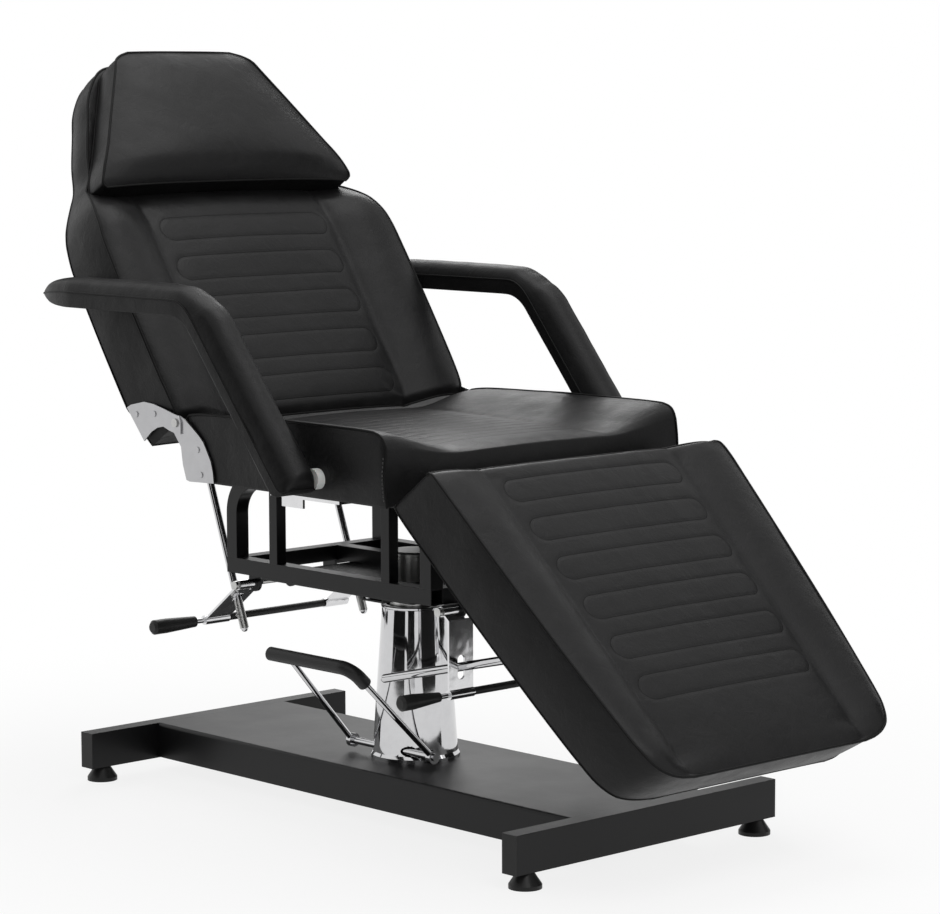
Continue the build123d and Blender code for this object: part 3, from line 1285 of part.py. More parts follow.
save("arm_pad_right", mirrored(arm_pad))
save("arm_core_left", arm_core)
save("arm_core_right", mirrored(arm_core))
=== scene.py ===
import bpy
import bmesh
import json
import math
import numpy as np
from mathutils import Matrix, Vector, noise


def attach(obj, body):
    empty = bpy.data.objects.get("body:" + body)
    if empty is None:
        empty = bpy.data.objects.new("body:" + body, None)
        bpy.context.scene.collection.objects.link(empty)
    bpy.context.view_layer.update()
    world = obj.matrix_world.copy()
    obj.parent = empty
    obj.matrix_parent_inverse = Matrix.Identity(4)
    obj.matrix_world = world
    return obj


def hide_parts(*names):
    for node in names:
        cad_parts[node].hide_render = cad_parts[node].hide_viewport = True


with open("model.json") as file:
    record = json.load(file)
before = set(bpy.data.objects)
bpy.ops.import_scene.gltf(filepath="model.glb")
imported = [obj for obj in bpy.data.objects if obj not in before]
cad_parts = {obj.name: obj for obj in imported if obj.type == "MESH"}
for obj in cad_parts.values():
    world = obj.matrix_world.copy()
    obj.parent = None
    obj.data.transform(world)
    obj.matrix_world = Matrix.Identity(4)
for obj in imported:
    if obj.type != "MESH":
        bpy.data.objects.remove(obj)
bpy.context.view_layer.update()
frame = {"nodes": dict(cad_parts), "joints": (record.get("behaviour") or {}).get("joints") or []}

# A black tattoo chair on a hydraulic column, standing at rest with its back raised and its leg
# rest hanging. Metres, +X towards the foot end, +Y to the sitter's left, +Z up from the floor.


# The photograph's viewpoint: a long lens at seat height, looking in over the foot end's near
# corner. The picture is 940 by 914 pixels, and the lens is solved from the base and the seat.
camera_place = Vector((3.8455, -3.4598, 1.1661))
camera_azimuth = math.radians(47.027)
camera_elevation = math.radians(6.592)
camera_roll = math.radians(-0.185)
back_way = Vector((math.sin(camera_azimuth) * math.cos(camera_elevation),
                   -math.cos(camera_azimuth) * math.cos(camera_elevation),
                   math.sin(camera_elevation)))
level_right = Vector((math.cos(camera_azimuth), math.sin(camera_azimuth), 0))
level_up = back_way.cross(level_right)
right_way = level_right * math.cos(camera_roll) + level_up * math.sin(camera_roll)
up_way = level_up * math.cos(camera_roll) - level_right * math.sin(camera_roll)
camera_data = bpy.data.cameras.new("viewpoint")
camera_data.sensor_width = 36
camera_data.lens = 124.47
camera = bpy.data.objects.new("viewpoint", camera_data)
bpy.context.collection.objects.link(camera)
camera.matrix_world = Matrix((
    (right_way.x, up_way.x, back_way.x, camera_place.x),
    (right_way.y, up_way.y, back_way.y, camera_place.y),
    (right_way.z, up_way.z, back_way.z, camera_place.z),
    (0, 0, 0, 1),
))
bpy.context.scene.camera = camera
bpy.context.scene.view_settings.view_transform = "Standard"


# Base: two box tubes across the ends and a folded pan between them, in stoved black paint with
# a soft sheen and a faint orange peel. Its top faces carry a painted reflection, a lighter grey in
# cloudy patches, and are rougher and less coated there. Flow wraps a socket, so that its shader
# sums read as sums, and Finish makes any other node.
class Flow:
    """One output socket of a shader tree."""

    def __init__(self, tree, socket):
        self.tree = tree
        self.socket = socket

    def _sum(self, kind, first, second):
        node = self.tree.nodes.new("ShaderNodeMath")
        node.operation = kind
        for place, value in enumerate((first, second)):
            if isinstance(value, Flow):
                self.tree.links.new(value.socket, node.inputs[place])
            else:
                node.inputs[place].default_value = value
        return Flow(self.tree, node.outputs[0])

    def __add__(self, other):
        return self._sum("ADD", self, other)

    def __radd__(self, other):
        return self._sum("ADD", other, self)

    def __sub__(self, other):
        return self._sum("SUBTRACT", self, other)

    def __rsub__(self, other):
        return self._sum("SUBTRACT", other, self)

    def __mul__(self, other):
        return self._sum("MULTIPLY", self, other)

    def __rmul__(self, other):
        return self._sum("MULTIPLY", other, self)


class Finish:
    """One material, built round a Principled shader."""

    def __init__(self, name, **sockets):
        self.material = bpy.data.materials.new(name)
        self.material.use_nodes = True
        self.tree = self.material.node_tree
        self.shader = self.tree.nodes["Principled BSDF"]
        self.feed(**sockets)

    def node(self, kind, settings=None, out=0, **inputs):
        """Any other node: settings first, then inputs by name with underscores for spaces."""
        node = self.tree.nodes.new("ShaderNode" + kind)
        for key, value in (settings or {}).items():
            if key == "stops":
                ramp = node.color_ramp
                for number, (place, colour) in enumerate(value):
                    stop = ramp.elements[number] if number < 2 else ramp.elements.new(place)
                    stop.position = place
                    stop.color = colour if len(colour) == 4 else (*colour, 1)
            else:
                setattr(node, key, value)
        for key, value in inputs.items():
            self._put(node, key.replace("_", " "), value)
        return Flow(self.tree, node.outputs[out])

    def _put(self, node, key, value):
        socket = node.inputs[int(key)] if key.isdigit() else node.inputs[key]
        if isinstance(value, Flow):
            self.tree.links.new(value.socket, socket)
        elif isinstance(value, tuple) and len(value) == 3 and socket.type == "RGBA":
            socket.default_value = (*value, 1)
        else:
            socket.default_value = value

    def feed(self, **sockets):
        for key, value in sockets.items():
            self._put(self.shader, key.replace("_", " "), value)
        return self

    def place(self, scale=1.0):
        """The piece's own coordinates, which move with it."""
        own = self.node("TexCoord", out=3)
        return self.node("Mapping", Vector=own, Scale=(scale, scale, scale))

    def clouds(self, scale, detail=3.0, rough=0.5, vector=None):
        return self.node("TexNoise", Vector=vector or self.place(), Scale=scale, Detail=detail,
                         Roughness=rough)

    def between(self, share, low, high):
        """A colour between two others."""
        node = self.tree.nodes.new("ShaderNodeMix")
        node.data_type = "RGBA"
        self.tree.links.new(share.socket, node.inputs["Factor"])
        for socket, value in ((node.inputs[6], low), (node.inputs[7], high)):
            if isinstance(value, Flow):
                self.tree.links.new(value.socket, socket)
            else:
                socket.default_value = (*value, 1)
        return Flow(self.tree, node.outputs[2])

    def veil(self, share, colour):
        """Shows an even glow of one colour over the finish, by a share."""
        glow = self.node("Emission", Color=colour, Strength=1.0)
        mixed = self.node("MixShader", **{"0": share, "1": Flow(self.tree, self.shader.outputs[0]),
                                          "2": glow})
        self.tree.links.new(mixed.socket, self.tree.nodes["Material Output"].inputs["Surface"])

    def relief(self, height, strength, distance, under=None):
        inputs = {"Height": height, "Strength": strength, "Distance": distance}
        if under is not None:
            inputs["Normal"] = under
        return self.node("Bump", **inputs)


def dress(names, finish):
    """Gives CAD nodes their finish."""
    for name in names:
        mesh = frame["nodes"][name].data
        mesh.materials.clear()
        mesh.materials.append(finish.material)


def black_paint(name, tone, roughness, edge_round):
    paint = Finish(name, Specular_IOR_Level=0.20, Coat_Roughness=0.18)
    reflection_and_dulling_clouds = paint.clouds(9.0, 5.0, 0.6)
    fine = paint.clouds(900.0, 2.0, 0.5)
    up = paint.node("SeparateXYZ", out=2, Vector=paint.node("NewGeometry", out=1))
    shelf = paint.node("MapRange", Value=up, From_Min=0.5, From_Max=1.0, To_Min=0.0, To_Max=1.0)
    # Painted reflection: faces turned up are painted a lighter grey in cloudy patches. The same
    # patches make those faces rougher and less coated.
    painted_reflection_and_dulling = shelf * reflection_and_dulling_clouds
    paint.feed(Base_Color=paint.between(painted_reflection_and_dulling * 0.5, tone, (0.045, 0.045, 0.046)),
               Roughness=reflection_and_dulling_clouds * 0.10 + painted_reflection_and_dulling * 0.12 + roughness,
               Coat_Weight=0.10 - painted_reflection_and_dulling * 0.08)
    rounded = paint.node("Bevel", {"samples": 3}, Radius=edge_round)
    peel = paint.relief(fine, 0.05, 0.0006, rounded)
    return paint.feed(Normal=peel)


base_paint = black_paint("base_black_paint", (0.005, 0.005, 0.0055), roughness=0.34,
                         edge_round=0.0016)
dress(["cross_tube_rear", "cross_tube_front", "base_pan", "pan_ribs", "pump_plate", "pump_body"],
      base_paint)


# Tube caps and feet: moulded black plastic and rubber, matt, with a fine sparked texture.
def moulded(name, tone, roughness, grain):
    plastic = Finish(name, Specular_IOR_Level=0.25)
    spark = plastic.clouds(grain, 3.0, 0.6)
    smear = plastic.clouds(14.0, 4.0, 0.6)
    light = tuple(min(1.0, part * 1.8 + 0.004) for part in tone)
    plastic.feed(Base_Color=plastic.between(smear, tone, light),
                 Roughness=smear * 0.14 + roughness,
                 Normal=plastic.relief(spark, 0.25, 0.0004))
    return plastic


cap_plastic = moulded("cap_plastic", (0.012, 0.012, 0.012), roughness=0.42, grain=1400.0)
foot_rubber = moulded("foot_rubber", (0.010, 0.010, 0.010), roughness=0.34, grain=900.0)
dress(["tube_caps"], cap_plastic)
dress(["foot_pads"], foot_rubber)


# Bright metal: the column shroud, pedal, rods and levers in chrome, the arm brackets and release
# plates pressed and plated, and the hinge covers in satin steel, all with faint wiping marks.
def bright_plate(name, tone, roughness, wave, wave_scale):
    plate = Finish(name, Metallic=1.0)
    wipe = plate.clouds(60.0, 6.0, 0.65)
    drift = plate.clouds(wave_scale, 1.0, 0.4)
    dull = tuple(part * 0.86 for part in tone)
    plate.feed(Base_Color=plate.between(wipe, tone, dull),
               Roughness=wipe * 0.06 + roughness,
               Normal=plate.relief(drift, wave, 0.002))
    return plate


chrome = bright_plate("chrome", (0.62, 0.62, 0.63), roughness=0.03, wave=0.06, wave_scale=30.0)
dress(["column_shroud", "pedal_shaft", "pedal_loop", "pump_ram", "clamp_pin", "back_prop_rods",
       "leg_prop_rods", "rear_release_bar", "front_release_bar"], chrome)
pressed_chrome = bright_plate("pressed_chrome", (0.74, 0.74, 0.75), roughness=0.10, wave=0.25,
                              wave_scale=45.0)
dress(["arm_brackets", "rear_release_plates", "front_release_plates"], pressed_chrome)
satin_steel = bright_plate("satin_steel", (0.50, 0.50, 0.51), roughness=0.27, wave=0.20,
                           wave_scale=38.0)
dress(["seat_hinge_covers", "back_hinge_covers"], satin_steel)


# Turned steel: the head socket, bolts, studs and pins, zinc plated, with fine lathe rings.
turned = Finish("turned_steel", Metallic=1.0)
turning = turned.node("TexWave", {"wave_type": "BANDS", "bands_direction": "Z"},
                      Vector=turned.place(), Scale=260.0, Distortion=0.6, Detail=2.0)
stain = turned.clouds(40.0, 5.0, 0.6)
turned.feed(Base_Color=turned.between(stain, (0.62, 0.62, 0.61), (0.42, 0.42, 0.41)),
            Roughness=stain * 0.16 + 0.22,
            Normal=turned.relief(turning, 0.08, 0.0004))
dress(["head_socket", "foot_studs", "pump_bolts", "seat_screws", "hinge_pins", "arm_bolts",
       "hanger_bolts", "rod_stops"], turned)


# Lift frame: square and flat steel in the same stoved black, a little glossier than the base.
frame_paint = black_paint("frame_black_paint", (0.004, 0.004, 0.0045), roughness=0.26,
                          edge_round=0.0012)
dress(["lower_rails", "cross_member_rear", "cross_member_front", "bow_tubes", "top_rails",
       "frame_posts", "head_channel", "release_hangers", "leg_hinge_ears", "leg_hinge_leaves",
       "leg_rod_brackets", "back_rod_brackets", "arm_core_right", "arm_core_left"], frame_paint)
plate_paint = black_paint("plate_gloss_paint", (0.006, 0.006, 0.0065), roughness=0.12,
                          edge_round=0.0010)
dress(["mounting_plate"], plate_paint)


# Grips and sleeves: black dipped vinyl and rubber, with a soft sheen.
grip_rubber = moulded("grip_rubber", (0.014, 0.014, 0.014), roughness=0.36, grain=700.0)
dress(["pedal_sleeve", "rear_bar_sleeve", "front_bar_sleeve", "rear_grip", "front_grip"],
      grip_rubber)


# Spacing washers where the armrests turn: white nylon, slightly worn.
nylon = Finish("white_nylon", Subsurface_Weight=0.05, Specular_IOR_Level=0.45)
wear = nylon.clouds(120.0, 4.0, 0.6)
nylon.feed(Base_Color=nylon.between(wear, (0.86, 0.86, 0.84), (0.70, 0.70, 0.68)),
           Roughness=wear * 0.2 + 0.30, Normal=nylon.relief(wear, 0.1, 0.0004))
dress(["arm_washers"], nylon)


# Boards under the cushions: plywood behind a black lining cloth, which shows from the back and
# from below. The cloth has a fine dimpled weave.
lining = Finish("board_lining", Specular_IOR_Level=0.2, Sheen_Weight=0.15)
dimple = lining.node("TexVoronoi", {"feature": "F1"}, Vector=lining.place(), Scale=420.0)
fluff = lining.clouds(30.0, 5.0, 0.6)
lining.feed(Base_Color=lining.between(fluff, (0.012, 0.012, 0.012), (0.024, 0.024, 0.024)),
            Roughness=fluff * 0.1 + 0.80,
            Normal=lining.relief(dimple, 0.5, 0.0008))
dress(["seat_board", "back_board", "leg_board"], lining)


# Backrest: foam on a board in pebbled leathercloth, with firm bolsters and five sewn outlines. It
# narrows to the head. Every cushion is a closed quad grid that a shape function places, and that
# cloth then blows up while its seams are held.
cover = Finish("black_leathercloth", Specular_IOR_Level=0.16, Coat_Roughness=0.30)
off_line = cover.node("Math", {"operation": "ABSOLUTE"},
                      Value=cover.node("Attribute", {"attribute_name": "line_distance"}, out="Fac"))
sewn_here = cover.node("Attribute", {"attribute_name": "line_share"}, out="Fac")
seam_mark = sewn_here * cover.node("MapRange", {"interpolation_type": "SMOOTHSTEP"}, Value=off_line,
                                   From_Min=0.0004, From_Max=0.0013, To_Min=1.0, To_Max=0.0)
seam_lip = sewn_here * cover.node("MapRange", {"interpolation_type": "SMOOTHSTEP"}, Value=off_line,
                                  From_Min=0.0004, From_Max=0.0060, To_Min=1.0, To_Max=0.0)
pebble = cover.node("TexVoronoi", {"feature": "SMOOTH_F1"}, Vector=cover.place(), Scale=620.0,
                    Smoothness=0.6)
crackle = cover.clouds(1500.0, 2.0, 0.6)
mottle = cover.clouds(26.0, 6.0, 0.62)
patch = cover.clouds(5.0, 3.0, 0.55)
shade = cover.between(mottle * 0.6 + patch * 0.4, (0.0045, 0.0045, 0.0047),
                      (0.0120, 0.0118, 0.0121))
cover.feed(Base_Color=cover.between(seam_mark, shade, (0.003, 0.003, 0.003)),
           Roughness=mottle * 0.30 + patch * 0.14 + 0.22 + seam_mark * 0.10,
           Coat_Weight=patch * 0.08)
grain = cover.relief(pebble * 0.7 + crackle * 0.3, 0.30, 0.0005)
folds = cover.node("TexNoise", Vector=cover.place(), Scale=38.0, Detail=5.0, Roughness=0.7,
                   Distortion=1.4)
ripple = cover.relief(mottle * 0.5 + folds * 0.5, 0.50, 0.0032, grain)
cover.feed(Normal=cover.relief(0.0 - seam_mark - seam_lip * 0.5, 0.55, 0.0010, ripple))
piping_cover = Finish("black_piping", Specular_IOR_Level=0.12)
piping_grain = piping_cover.clouds(700.0, 3.0, 0.6)
piping_cover.feed(Base_Color=piping_cover.between(piping_grain, (0.003, 0.003, 0.003),
                                                  (0.007, 0.007, 0.007)),
                  Roughness=piping_grain * 0.2 + 0.38,
                  Normal=piping_cover.relief(piping_grain, 0.3, 0.0004))


def curve_through(x, stations):
    """A smooth line through (x, value) stations that never overshoots them."""
    xs, ys = (np.array(column, float) for column in zip(*stations))
    step = np.diff(xs)
    slope = np.diff(ys) / step
    tangent = np.zeros_like(ys)
    same_way = slope[:-1] * slope[1:] > 0
    harmonic = 2 * slope[:-1] * slope[1:] / np.where(same_way, slope[:-1] + slope[1:], 1)
    tangent[1:-1] = np.where(same_way, harmonic, 0)
    tangent[0], tangent[-1] = slope[0], slope[-1]
    x = np.clip(x, xs[0], xs[-1])
    span = np.clip(np.searchsorted(xs, x, side="right") - 1, 0, len(step) - 1)
    t = (x - xs[span]) / step[span]
    return ((1 + 2 * t) * (1 - t) ** 2 * ys[span] + t * (1 - t) ** 2 * step[span] * tangent[span]
            + t * t * (3 - 2 * t) * ys[span + 1] + t * t * (t - 1) * step[span] * tangent[span + 1])


class Wrap:
    """A closed quad grid round a box of across by up by along cells."""

    def __init__(self, across, up, along):
        self.size = (len(across) - 1, len(up) - 1, len(along) - 1)
        self.index = {}
        keys = []
        faces = []
        n_across, n_up, n_along = self.size

        def corner(i, j, k):
            if (i, j, k) not in self.index:
                self.index[(i, j, k)] = len(keys)
                keys.append((i, j, k))
            return self.index[(i, j, k)]

        for j in (0, n_up):
            for i in range(n_across):
                for k in range(n_along):
                    faces.append([corner(i, j, k), corner(i + 1, j, k), corner(i + 1, j, k + 1),
                                  corner(i, j, k + 1)])
        for i in (0, n_across):
            for j in range(n_up):
                for k in range(n_along):
                    faces.append([corner(i, j, k), corner(i, j + 1, k), corner(i, j + 1, k + 1),
                                  corner(i, j, k + 1)])
        for k in (0, n_along):
            for i in range(n_across):
                for j in range(n_up):
                    faces.append([corner(i, j, k), corner(i + 1, j, k), corner(i + 1, j + 1, k),
                                  corner(i, j + 1, k)])
        self.keys = np.array(keys)
        self.faces = faces
        self.a = np.array(across)[self.keys[:, 0]]
        self.b = np.array(up)[self.keys[:, 1]]
        self.c = np.array(along)[self.keys[:, 2]]

    def rim(self, j):
        """The closed loop of corners round the top or the bottom, in order."""
        n_across, _, n_along = self.size
        loop = [(i, j, 0) for i in range(n_across)]
        loop += [(n_across, j, k) for k in range(n_along)]
        loop += [(i, j, n_along) for i in range(n_across, 0, -1)]
        loop += [(0, j, k) for k in range(n_along, 0, -1)]
        return [self.index[key] for key in loop]

    def side(self, i):
        """The corners round one side panel: up its rear end, along its top and down its front."""
        _, n_up, n_along = self.size
        line = [(i, j, 0) for j in range(n_up)]
        line += [(i, n_up, k) for k in range(n_along)]
        line += [(i, j, n_along) for j in range(n_up, -1, -1)]
        return [self.index[key] for key in line]


def spaced(low, high, step, fine=0.0, fine_step=0.003):
    """Evenly spaced places from low to high, closer over a stretch at both ends."""
    places = max(2, int(round((high - low - 2 * fine) / step)) + 1)
    middle = np.linspace(low + fine, high - fine, places)
    if not fine:
        return middle
    count = max(2, int(round(fine / fine_step)))
    start = np.linspace(low, low + fine, count + 1)[:-1]
    end = np.linspace(high - fine, high, count + 1)[1:]
    return np.concatenate([start, middle, end])


def as_mesh(name, points, faces):
    mesh = bpy.data.meshes.new(name)
    mesh.from_pydata([tuple(p) for p in points], [], faces)
    shape = bmesh.new()
    shape.from_mesh(mesh)
    bmesh.ops.recalc_face_normals(shape, faces=shape.faces)
    shape.to_mesh(mesh)
    shape.free()
    mesh.polygons.foreach_set("use_smooth", [True] * len(mesh.polygons))
    piece = bpy.data.objects.new(name, mesh)
    bpy.context.collection.objects.link(piece)
    return piece


def points_of(mesh):
    flat = np.empty(len(mesh.vertices) * 3)
    mesh.vertices.foreach_get("co", flat)
    return flat.reshape(-1, 3)


def put_points(mesh, points):
    mesh.vertices.foreach_set("co", np.ascontiguousarray(points).ravel())
    mesh.update()


def puff(piece, hold, pressure, cap):
    """Blows the cover up against its held seams, then keeps at most cap of the movement."""
    rest = points_of(piece.data)
    group = piece.vertex_groups.new(name="held")
    for weight in np.unique(np.round(hold, 2)):
        if weight > 0:
            members = np.nonzero(np.isclose(np.round(hold, 2), weight))[0].tolist()
            group.add(members, float(weight), "REPLACE")
    cloth = piece.modifiers.new("Cloth", "CLOTH")
    settings = cloth.settings
    settings.quality = 4
    settings.vertex_group_mass = "held"
    settings.use_pressure = True
    settings.uniform_pressure_force = pressure
    settings.effector_weights.gravity = 0
    settings.tension_stiffness = 25
    settings.compression_stiffness = 25
    settings.shear_stiffness = 12
    settings.bending_stiffness = 2
    last_frame = 20
    cloth.point_cache.frame_start = 1
    cloth.point_cache.frame_end = last_frame
    for number in range(1, last_frame + 1):
        bpy.context.scene.frame_set(number)
    shown = piece.evaluated_get(bpy.context.evaluated_depsgraph_get())
    swollen = points_of(shown.data)
    piece.modifiers.remove(cloth)
    piece.vertex_groups.remove(group)
    bpy.context.scene.frame_set(1)
    move = swollen - rest
    length = np.linalg.norm(move, axis=1, keepdims=True)
    move *= np.minimum(1, cap * np.tanh(length / cap) / np.maximum(length, 1e-9))
    put_points(piece.data, rest + move)


def refine(piece, sharp):
    """One level of subdivision, with the sewn edges kept sharp."""
    crease = piece.data.attributes.new("crease_edge", "FLOAT", "EDGE")
    pairs = np.empty(len(piece.data.edges) * 2, int)
    piece.data.edges.foreach_get("vertices", pairs)
    pairs = pairs.reshape(-1, 2)
    on_seam = np.zeros(len(piece.data.vertices), bool)
    on_seam[sharp] = True
    crease.data.foreach_set("value", (on_seam[pairs].all(axis=1) * 0.9).astype(np.float32))
    smooth = piece.modifiers.new("Subdivision", "SUBSURF")
    smooth.levels = smooth.render_levels = 1
    shown = piece.evaluated_get(bpy.context.evaluated_depsgraph_get())
    finer = bpy.data.meshes.new_from_object(shown)
    piece.modifiers.remove(smooth)
    old = piece.data
    piece.data = finer
    bpy.data.meshes.remove(old)
    finer.polygons.foreach_set("use_smooth", [True] * len(finer.polygons))


def sew(piece, origin, along_way, out_way, sink, width, distance):
    """Presses sewn lines into the face. distance gives a signed distance to one, and its share."""
    points = points_of(piece.data)
    local = points - origin
    u, v, y = local @ along_way, local @ out_way, local[:, 1]
    normals = np.empty(len(points) * 3)
    piece.data.vertices.foreach_get("normal", normals)
    facing = np.clip(normals.reshape(-1, 3) @ out_way * 2 - 0.6, 0, 1)
    off, reach = distance(u, y)
    share = np.exp(-(off / width) ** 2) * facing * reach
    put_points(piece.data, points - share[:, None] * sink * np.array(out_way))
    for label, values in (("line_distance", off), ("line_share", facing * reach)):
        mark = piece.data.attributes.new(label, "FLOAT", "POINT")
        mark.data.foreach_set("value", values.astype(np.float32))


def piping(name, points, body, radius, closed=True):
    """A covered cord sewn into a seam."""
    line = bpy.data.curves.new(name, "CURVE")
    line.dimensions = "3D"
    line.bevel_depth = radius
    line.bevel_resolution = 3
    spline = line.splines.new("POLY")
    spline.points.add(len(points) - 1)
    for point, place in zip(spline.points, points):
        point.co = (*place, 1)
    spline.use_cyclic_u = closed
    cord = bpy.data.objects.new(name, line)
    bpy.context.collection.objects.link(cord)
    line.materials.append(piping_cover.material)
    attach(cord, body)
    return cord


def outlines(u, y, first, pitch, count, half_width, reach):
    """The distance from a row of sewn outlines with round ends, less than nothing inside one."""
    lines = []
    for n in range(count):
        centre = first + pitch * n
        beyond = np.maximum(np.abs(y) - (reach(centre) - half_width), 0)
        lines.append(np.hypot(u - centre, beyond) - half_width)
    return np.min(lines, axis=0), np.ones(len(u))


def uneven(points, size, scale, seed):
    """A gentle unevenness, as foam shows under its cover."""
    offset = Vector((seed, seed * 2.7, seed * 1.3))
    values = [noise.fractal(Vector(p) * scale + offset, 1.0, 2.0, 3) for p in points]
    return np.array(values) * size


class Cushion:
    """The shape of one cushion, from functions of the distance along it."""

    narrowest_bolster, crease_width = 0.030, 0.007
    flat_by_hinge, rear_hollow = 0.10, 0.003

    def __init__(self, origin, along_way, out_way, half, low, edge, bolster, valley, middle,
                 inner, crease, lean=None):
        self.origin = np.array(origin)
        self.along_way = np.array(along_way)
        self.out_way = np.array(out_way)
        self.half, self.low, self.edge = half, low, edge
        self.bolster, self.valley, self.middle = bolster, valley, middle
        self.inner, self.crease, self.lean = inner, crease, lean

    def top(self, u, y):
        """The height of the face."""
        half, edge, valley = self.half(u), self.edge(u), self.valley(u)
        inner = np.minimum(self.inner(u), half - self.narrowest_bolster)
        t = np.clip((half - np.abs(y)) / (half - inner), 0, 1)
        rise = self.bolster(u) - np.maximum(edge, valley)
        ridge = edge + (valley - edge) * t * t * (3 - 2 * t) + rise * np.sin(math.pi * t ** 0.85)
        share = np.clip(np.abs(y) / inner, 0, 1)
        panel = valley + (self.middle(u) - valley) * (1 - share ** 2.5)
        height = np.where(np.abs(y) > inner, ridge, panel)
        return height - self.crease * np.exp(-((np.abs(y) - inner) / self.crease_width) ** 2)

    def place(self, wrap, bulge):
        """Where every grid point goes, in the chair's own frame."""
        u = wrap.c.copy()
        half = self.half(u)
        clear_of_hinge = np.clip((u - u.min() - self.flat_by_hinge) / self.flat_by_hinge, 0, 1)
        full = np.sin(math.pi * np.clip(wrap.b, 0, 1)) * bulge * clear_of_hinge
        side = np.abs(wrap.a) ** 12
        y = wrap.a * (half + full * side)
        low = self.low(u)
        high = self.top(u, wrap.a * half)
        v = low + (high - low) * wrap.b
        v += self.rear_hollow * (wrap.b == 0) * (1 - np.abs(wrap.a) ** 10)
        u = u + (wrap.keys[:, 2] == wrap.size[2]) * full * (1 - np.abs(wrap.a) ** 4)
        if self.lean is not None:
            u = u + self.lean(u) * v
        return (self.origin + u[:, None] * self.along_way + v[:, None] * self.out_way
                + y[:, None] * np.array((0, 1, 0)))


def upholster(name, shape, wrap, node, body, bulge, pressure, cap, seams, sink, width, seed):
    """Builds one cushion from its shape and returns the places of its grid points."""
    held_by_hinge, crease_width, crease_hold = 0.11, 0.008, 0.35
    seam_width, seam_hold = 0.005, 0.20
    lump, lump_scale = 0.0009, 11.0
    piece = as_mesh(name, shape.place(wrap, bulge), wrap.faces)
    n_across, n_up, n_along = wrap.size
    on_top = wrap.keys[:, 1] == n_up
    on_bottom = wrap.keys[:, 1] == 0
    edge_across = (wrap.keys[:, 0] == 0) | (wrap.keys[:, 0] == n_across)
    edge_along = (wrap.keys[:, 2] == 0) | (wrap.keys[:, 2] == n_along)
    corner = edge_across & edge_along
    sewn = (on_top & (edge_across | edge_along)) | on_bottom | corner
    across = np.abs(wrap.a) * shape.half(wrap.c)
    crease = on_top * np.exp(-((across - shape.inner(wrap.c)) / crease_width) ** 2)
    rest = points_of(piece.data)
    local = rest - shape.origin
    off, reach = seams(local @ shape.along_way, local[:, 1])
    near_seam = np.exp(-(off / seam_width) ** 2) * reach
    hold = np.where(sewn, 1.0, np.maximum(crease_hold * crease, seam_hold * near_seam * on_top))
    hold[wrap.keys[:, 2] == 0] = 1.0
    hold[edge_across & (wrap.c - wrap.c.min() < held_by_hinge)] = 1.0
    puff(piece, hold, pressure, cap)
    grid_points = points_of(piece.data)
    sharp = np.nonzero((on_top | on_bottom) & (edge_across | edge_along) | corner)[0]
    refine(piece, sharp)
    points = points_of(piece.data)
    normals = np.empty(len(points) * 3)
    piece.data.vertices.foreach_get("normal", normals)
    normals = normals.reshape(-1, 3)
    behind = np.clip(-1.5 * normals @ shape.out_way, 0, 1)
    points = points + normals * (uneven(points, lump, lump_scale, seed) * (1 - behind))[:, None]
    put_points(piece.data, points)
    sew(piece, shape.origin, shape.along_way, shape.out_way, sink, width, seams)
    piece.data.materials.append(cover.material)
    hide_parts(node)
    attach(piece, body)
    return grid_points


grid_step = 0.0068
held = {joint["name"]: joint for joint in frame["joints"]}
hinge = np.array(held["recline"]["pos_m"], float)
hinge[1] = 0
back_angle = math.radians(56.3)
up_back = (-math.cos(back_angle), 0, math.sin(back_angle))
out_of_back = (math.sin(back_angle), 0, math.cos(back_angle))
back_half_stations = ((0.006, 0.304), (0.03, 0.310), (0.10, 0.3135), (0.20, 0.3145), (0.33, 0.3130),
                      (0.38, 0.306), (0.41, 0.296), (0.432, 0.284), (0.46, 0.266), (0.488, 0.248),
                      (0.534, 0.232), (0.60, 0.203), (0.635, 0.188), (0.667, 0.167), (0.69, 0.146),
                      (0.705, 0.122), (0.714, 0.090))
back_edge_stations = ((0.006, -0.010), (0.02, 0.002), (0.05, 0.004), (0.36, 0.004), (0.40, -0.004),
                      (0.425, -0.018), (0.445, -0.034), (0.462, -0.047), (0.69, -0.048),
                      (0.714, -0.056))
back_low_stations = ((0.006, -0.086), (0.05, -0.088), (0.085, -0.0995), (0.69, -0.0995),
                     (0.714, -0.092))
bolster_fade = ((0.0, 1.0), (0.38, 1.0), (0.44, 0.25), (0.47, 0.05), (0.714, 0.05))


def back_seams(u, y):
    return outlines(u, y, first=0.050, pitch=0.0775, count=5, half_width=0.0225,
                    reach=lambda centre: 0.178)


back_shape = Cushion(
    hinge, up_back, out_of_back,
    half=lambda u: curve_through(u, back_half_stations),
    low=lambda u: curve_through(u, back_low_stations),
    edge=lambda u: curve_through(u, back_edge_stations),
    bolster=lambda u: curve_through(u, back_edge_stations) + 0.015 * curve_through(u, bolster_fade),
    valley=lambda u: curve_through(u, back_edge_stations) - 0.016 * curve_through(u, bolster_fade),
    middle=lambda u: curve_through(u, back_edge_stations) - 0.009 * curve_through(u, bolster_fade),
    inner=lambda u: np.full(len(u), 0.193), crease=0.0030)
back_wrap = Wrap(spaced(-1, 1, grid_step / 0.31), spaced(0, 1, grid_step / 0.10),
                 spaced(0.006, 0.714, grid_step, fine=0.024))
back_points = upholster("backrest_cushion", back_shape, back_wrap, "back_cushion", "backrest",
                        bulge=0.004, pressure=3.0, cap=0.005, seams=back_seams, sink=0.0005,
                        width=0.0040, seed=3.1)
piping("backrest_piping", back_points[back_wrap.rim(back_wrap.size[1])], "backrest", radius=0.0022)
piping("backrest_rear_seam", back_points[back_wrap.rim(0)], "backrest", radius=0.0014)


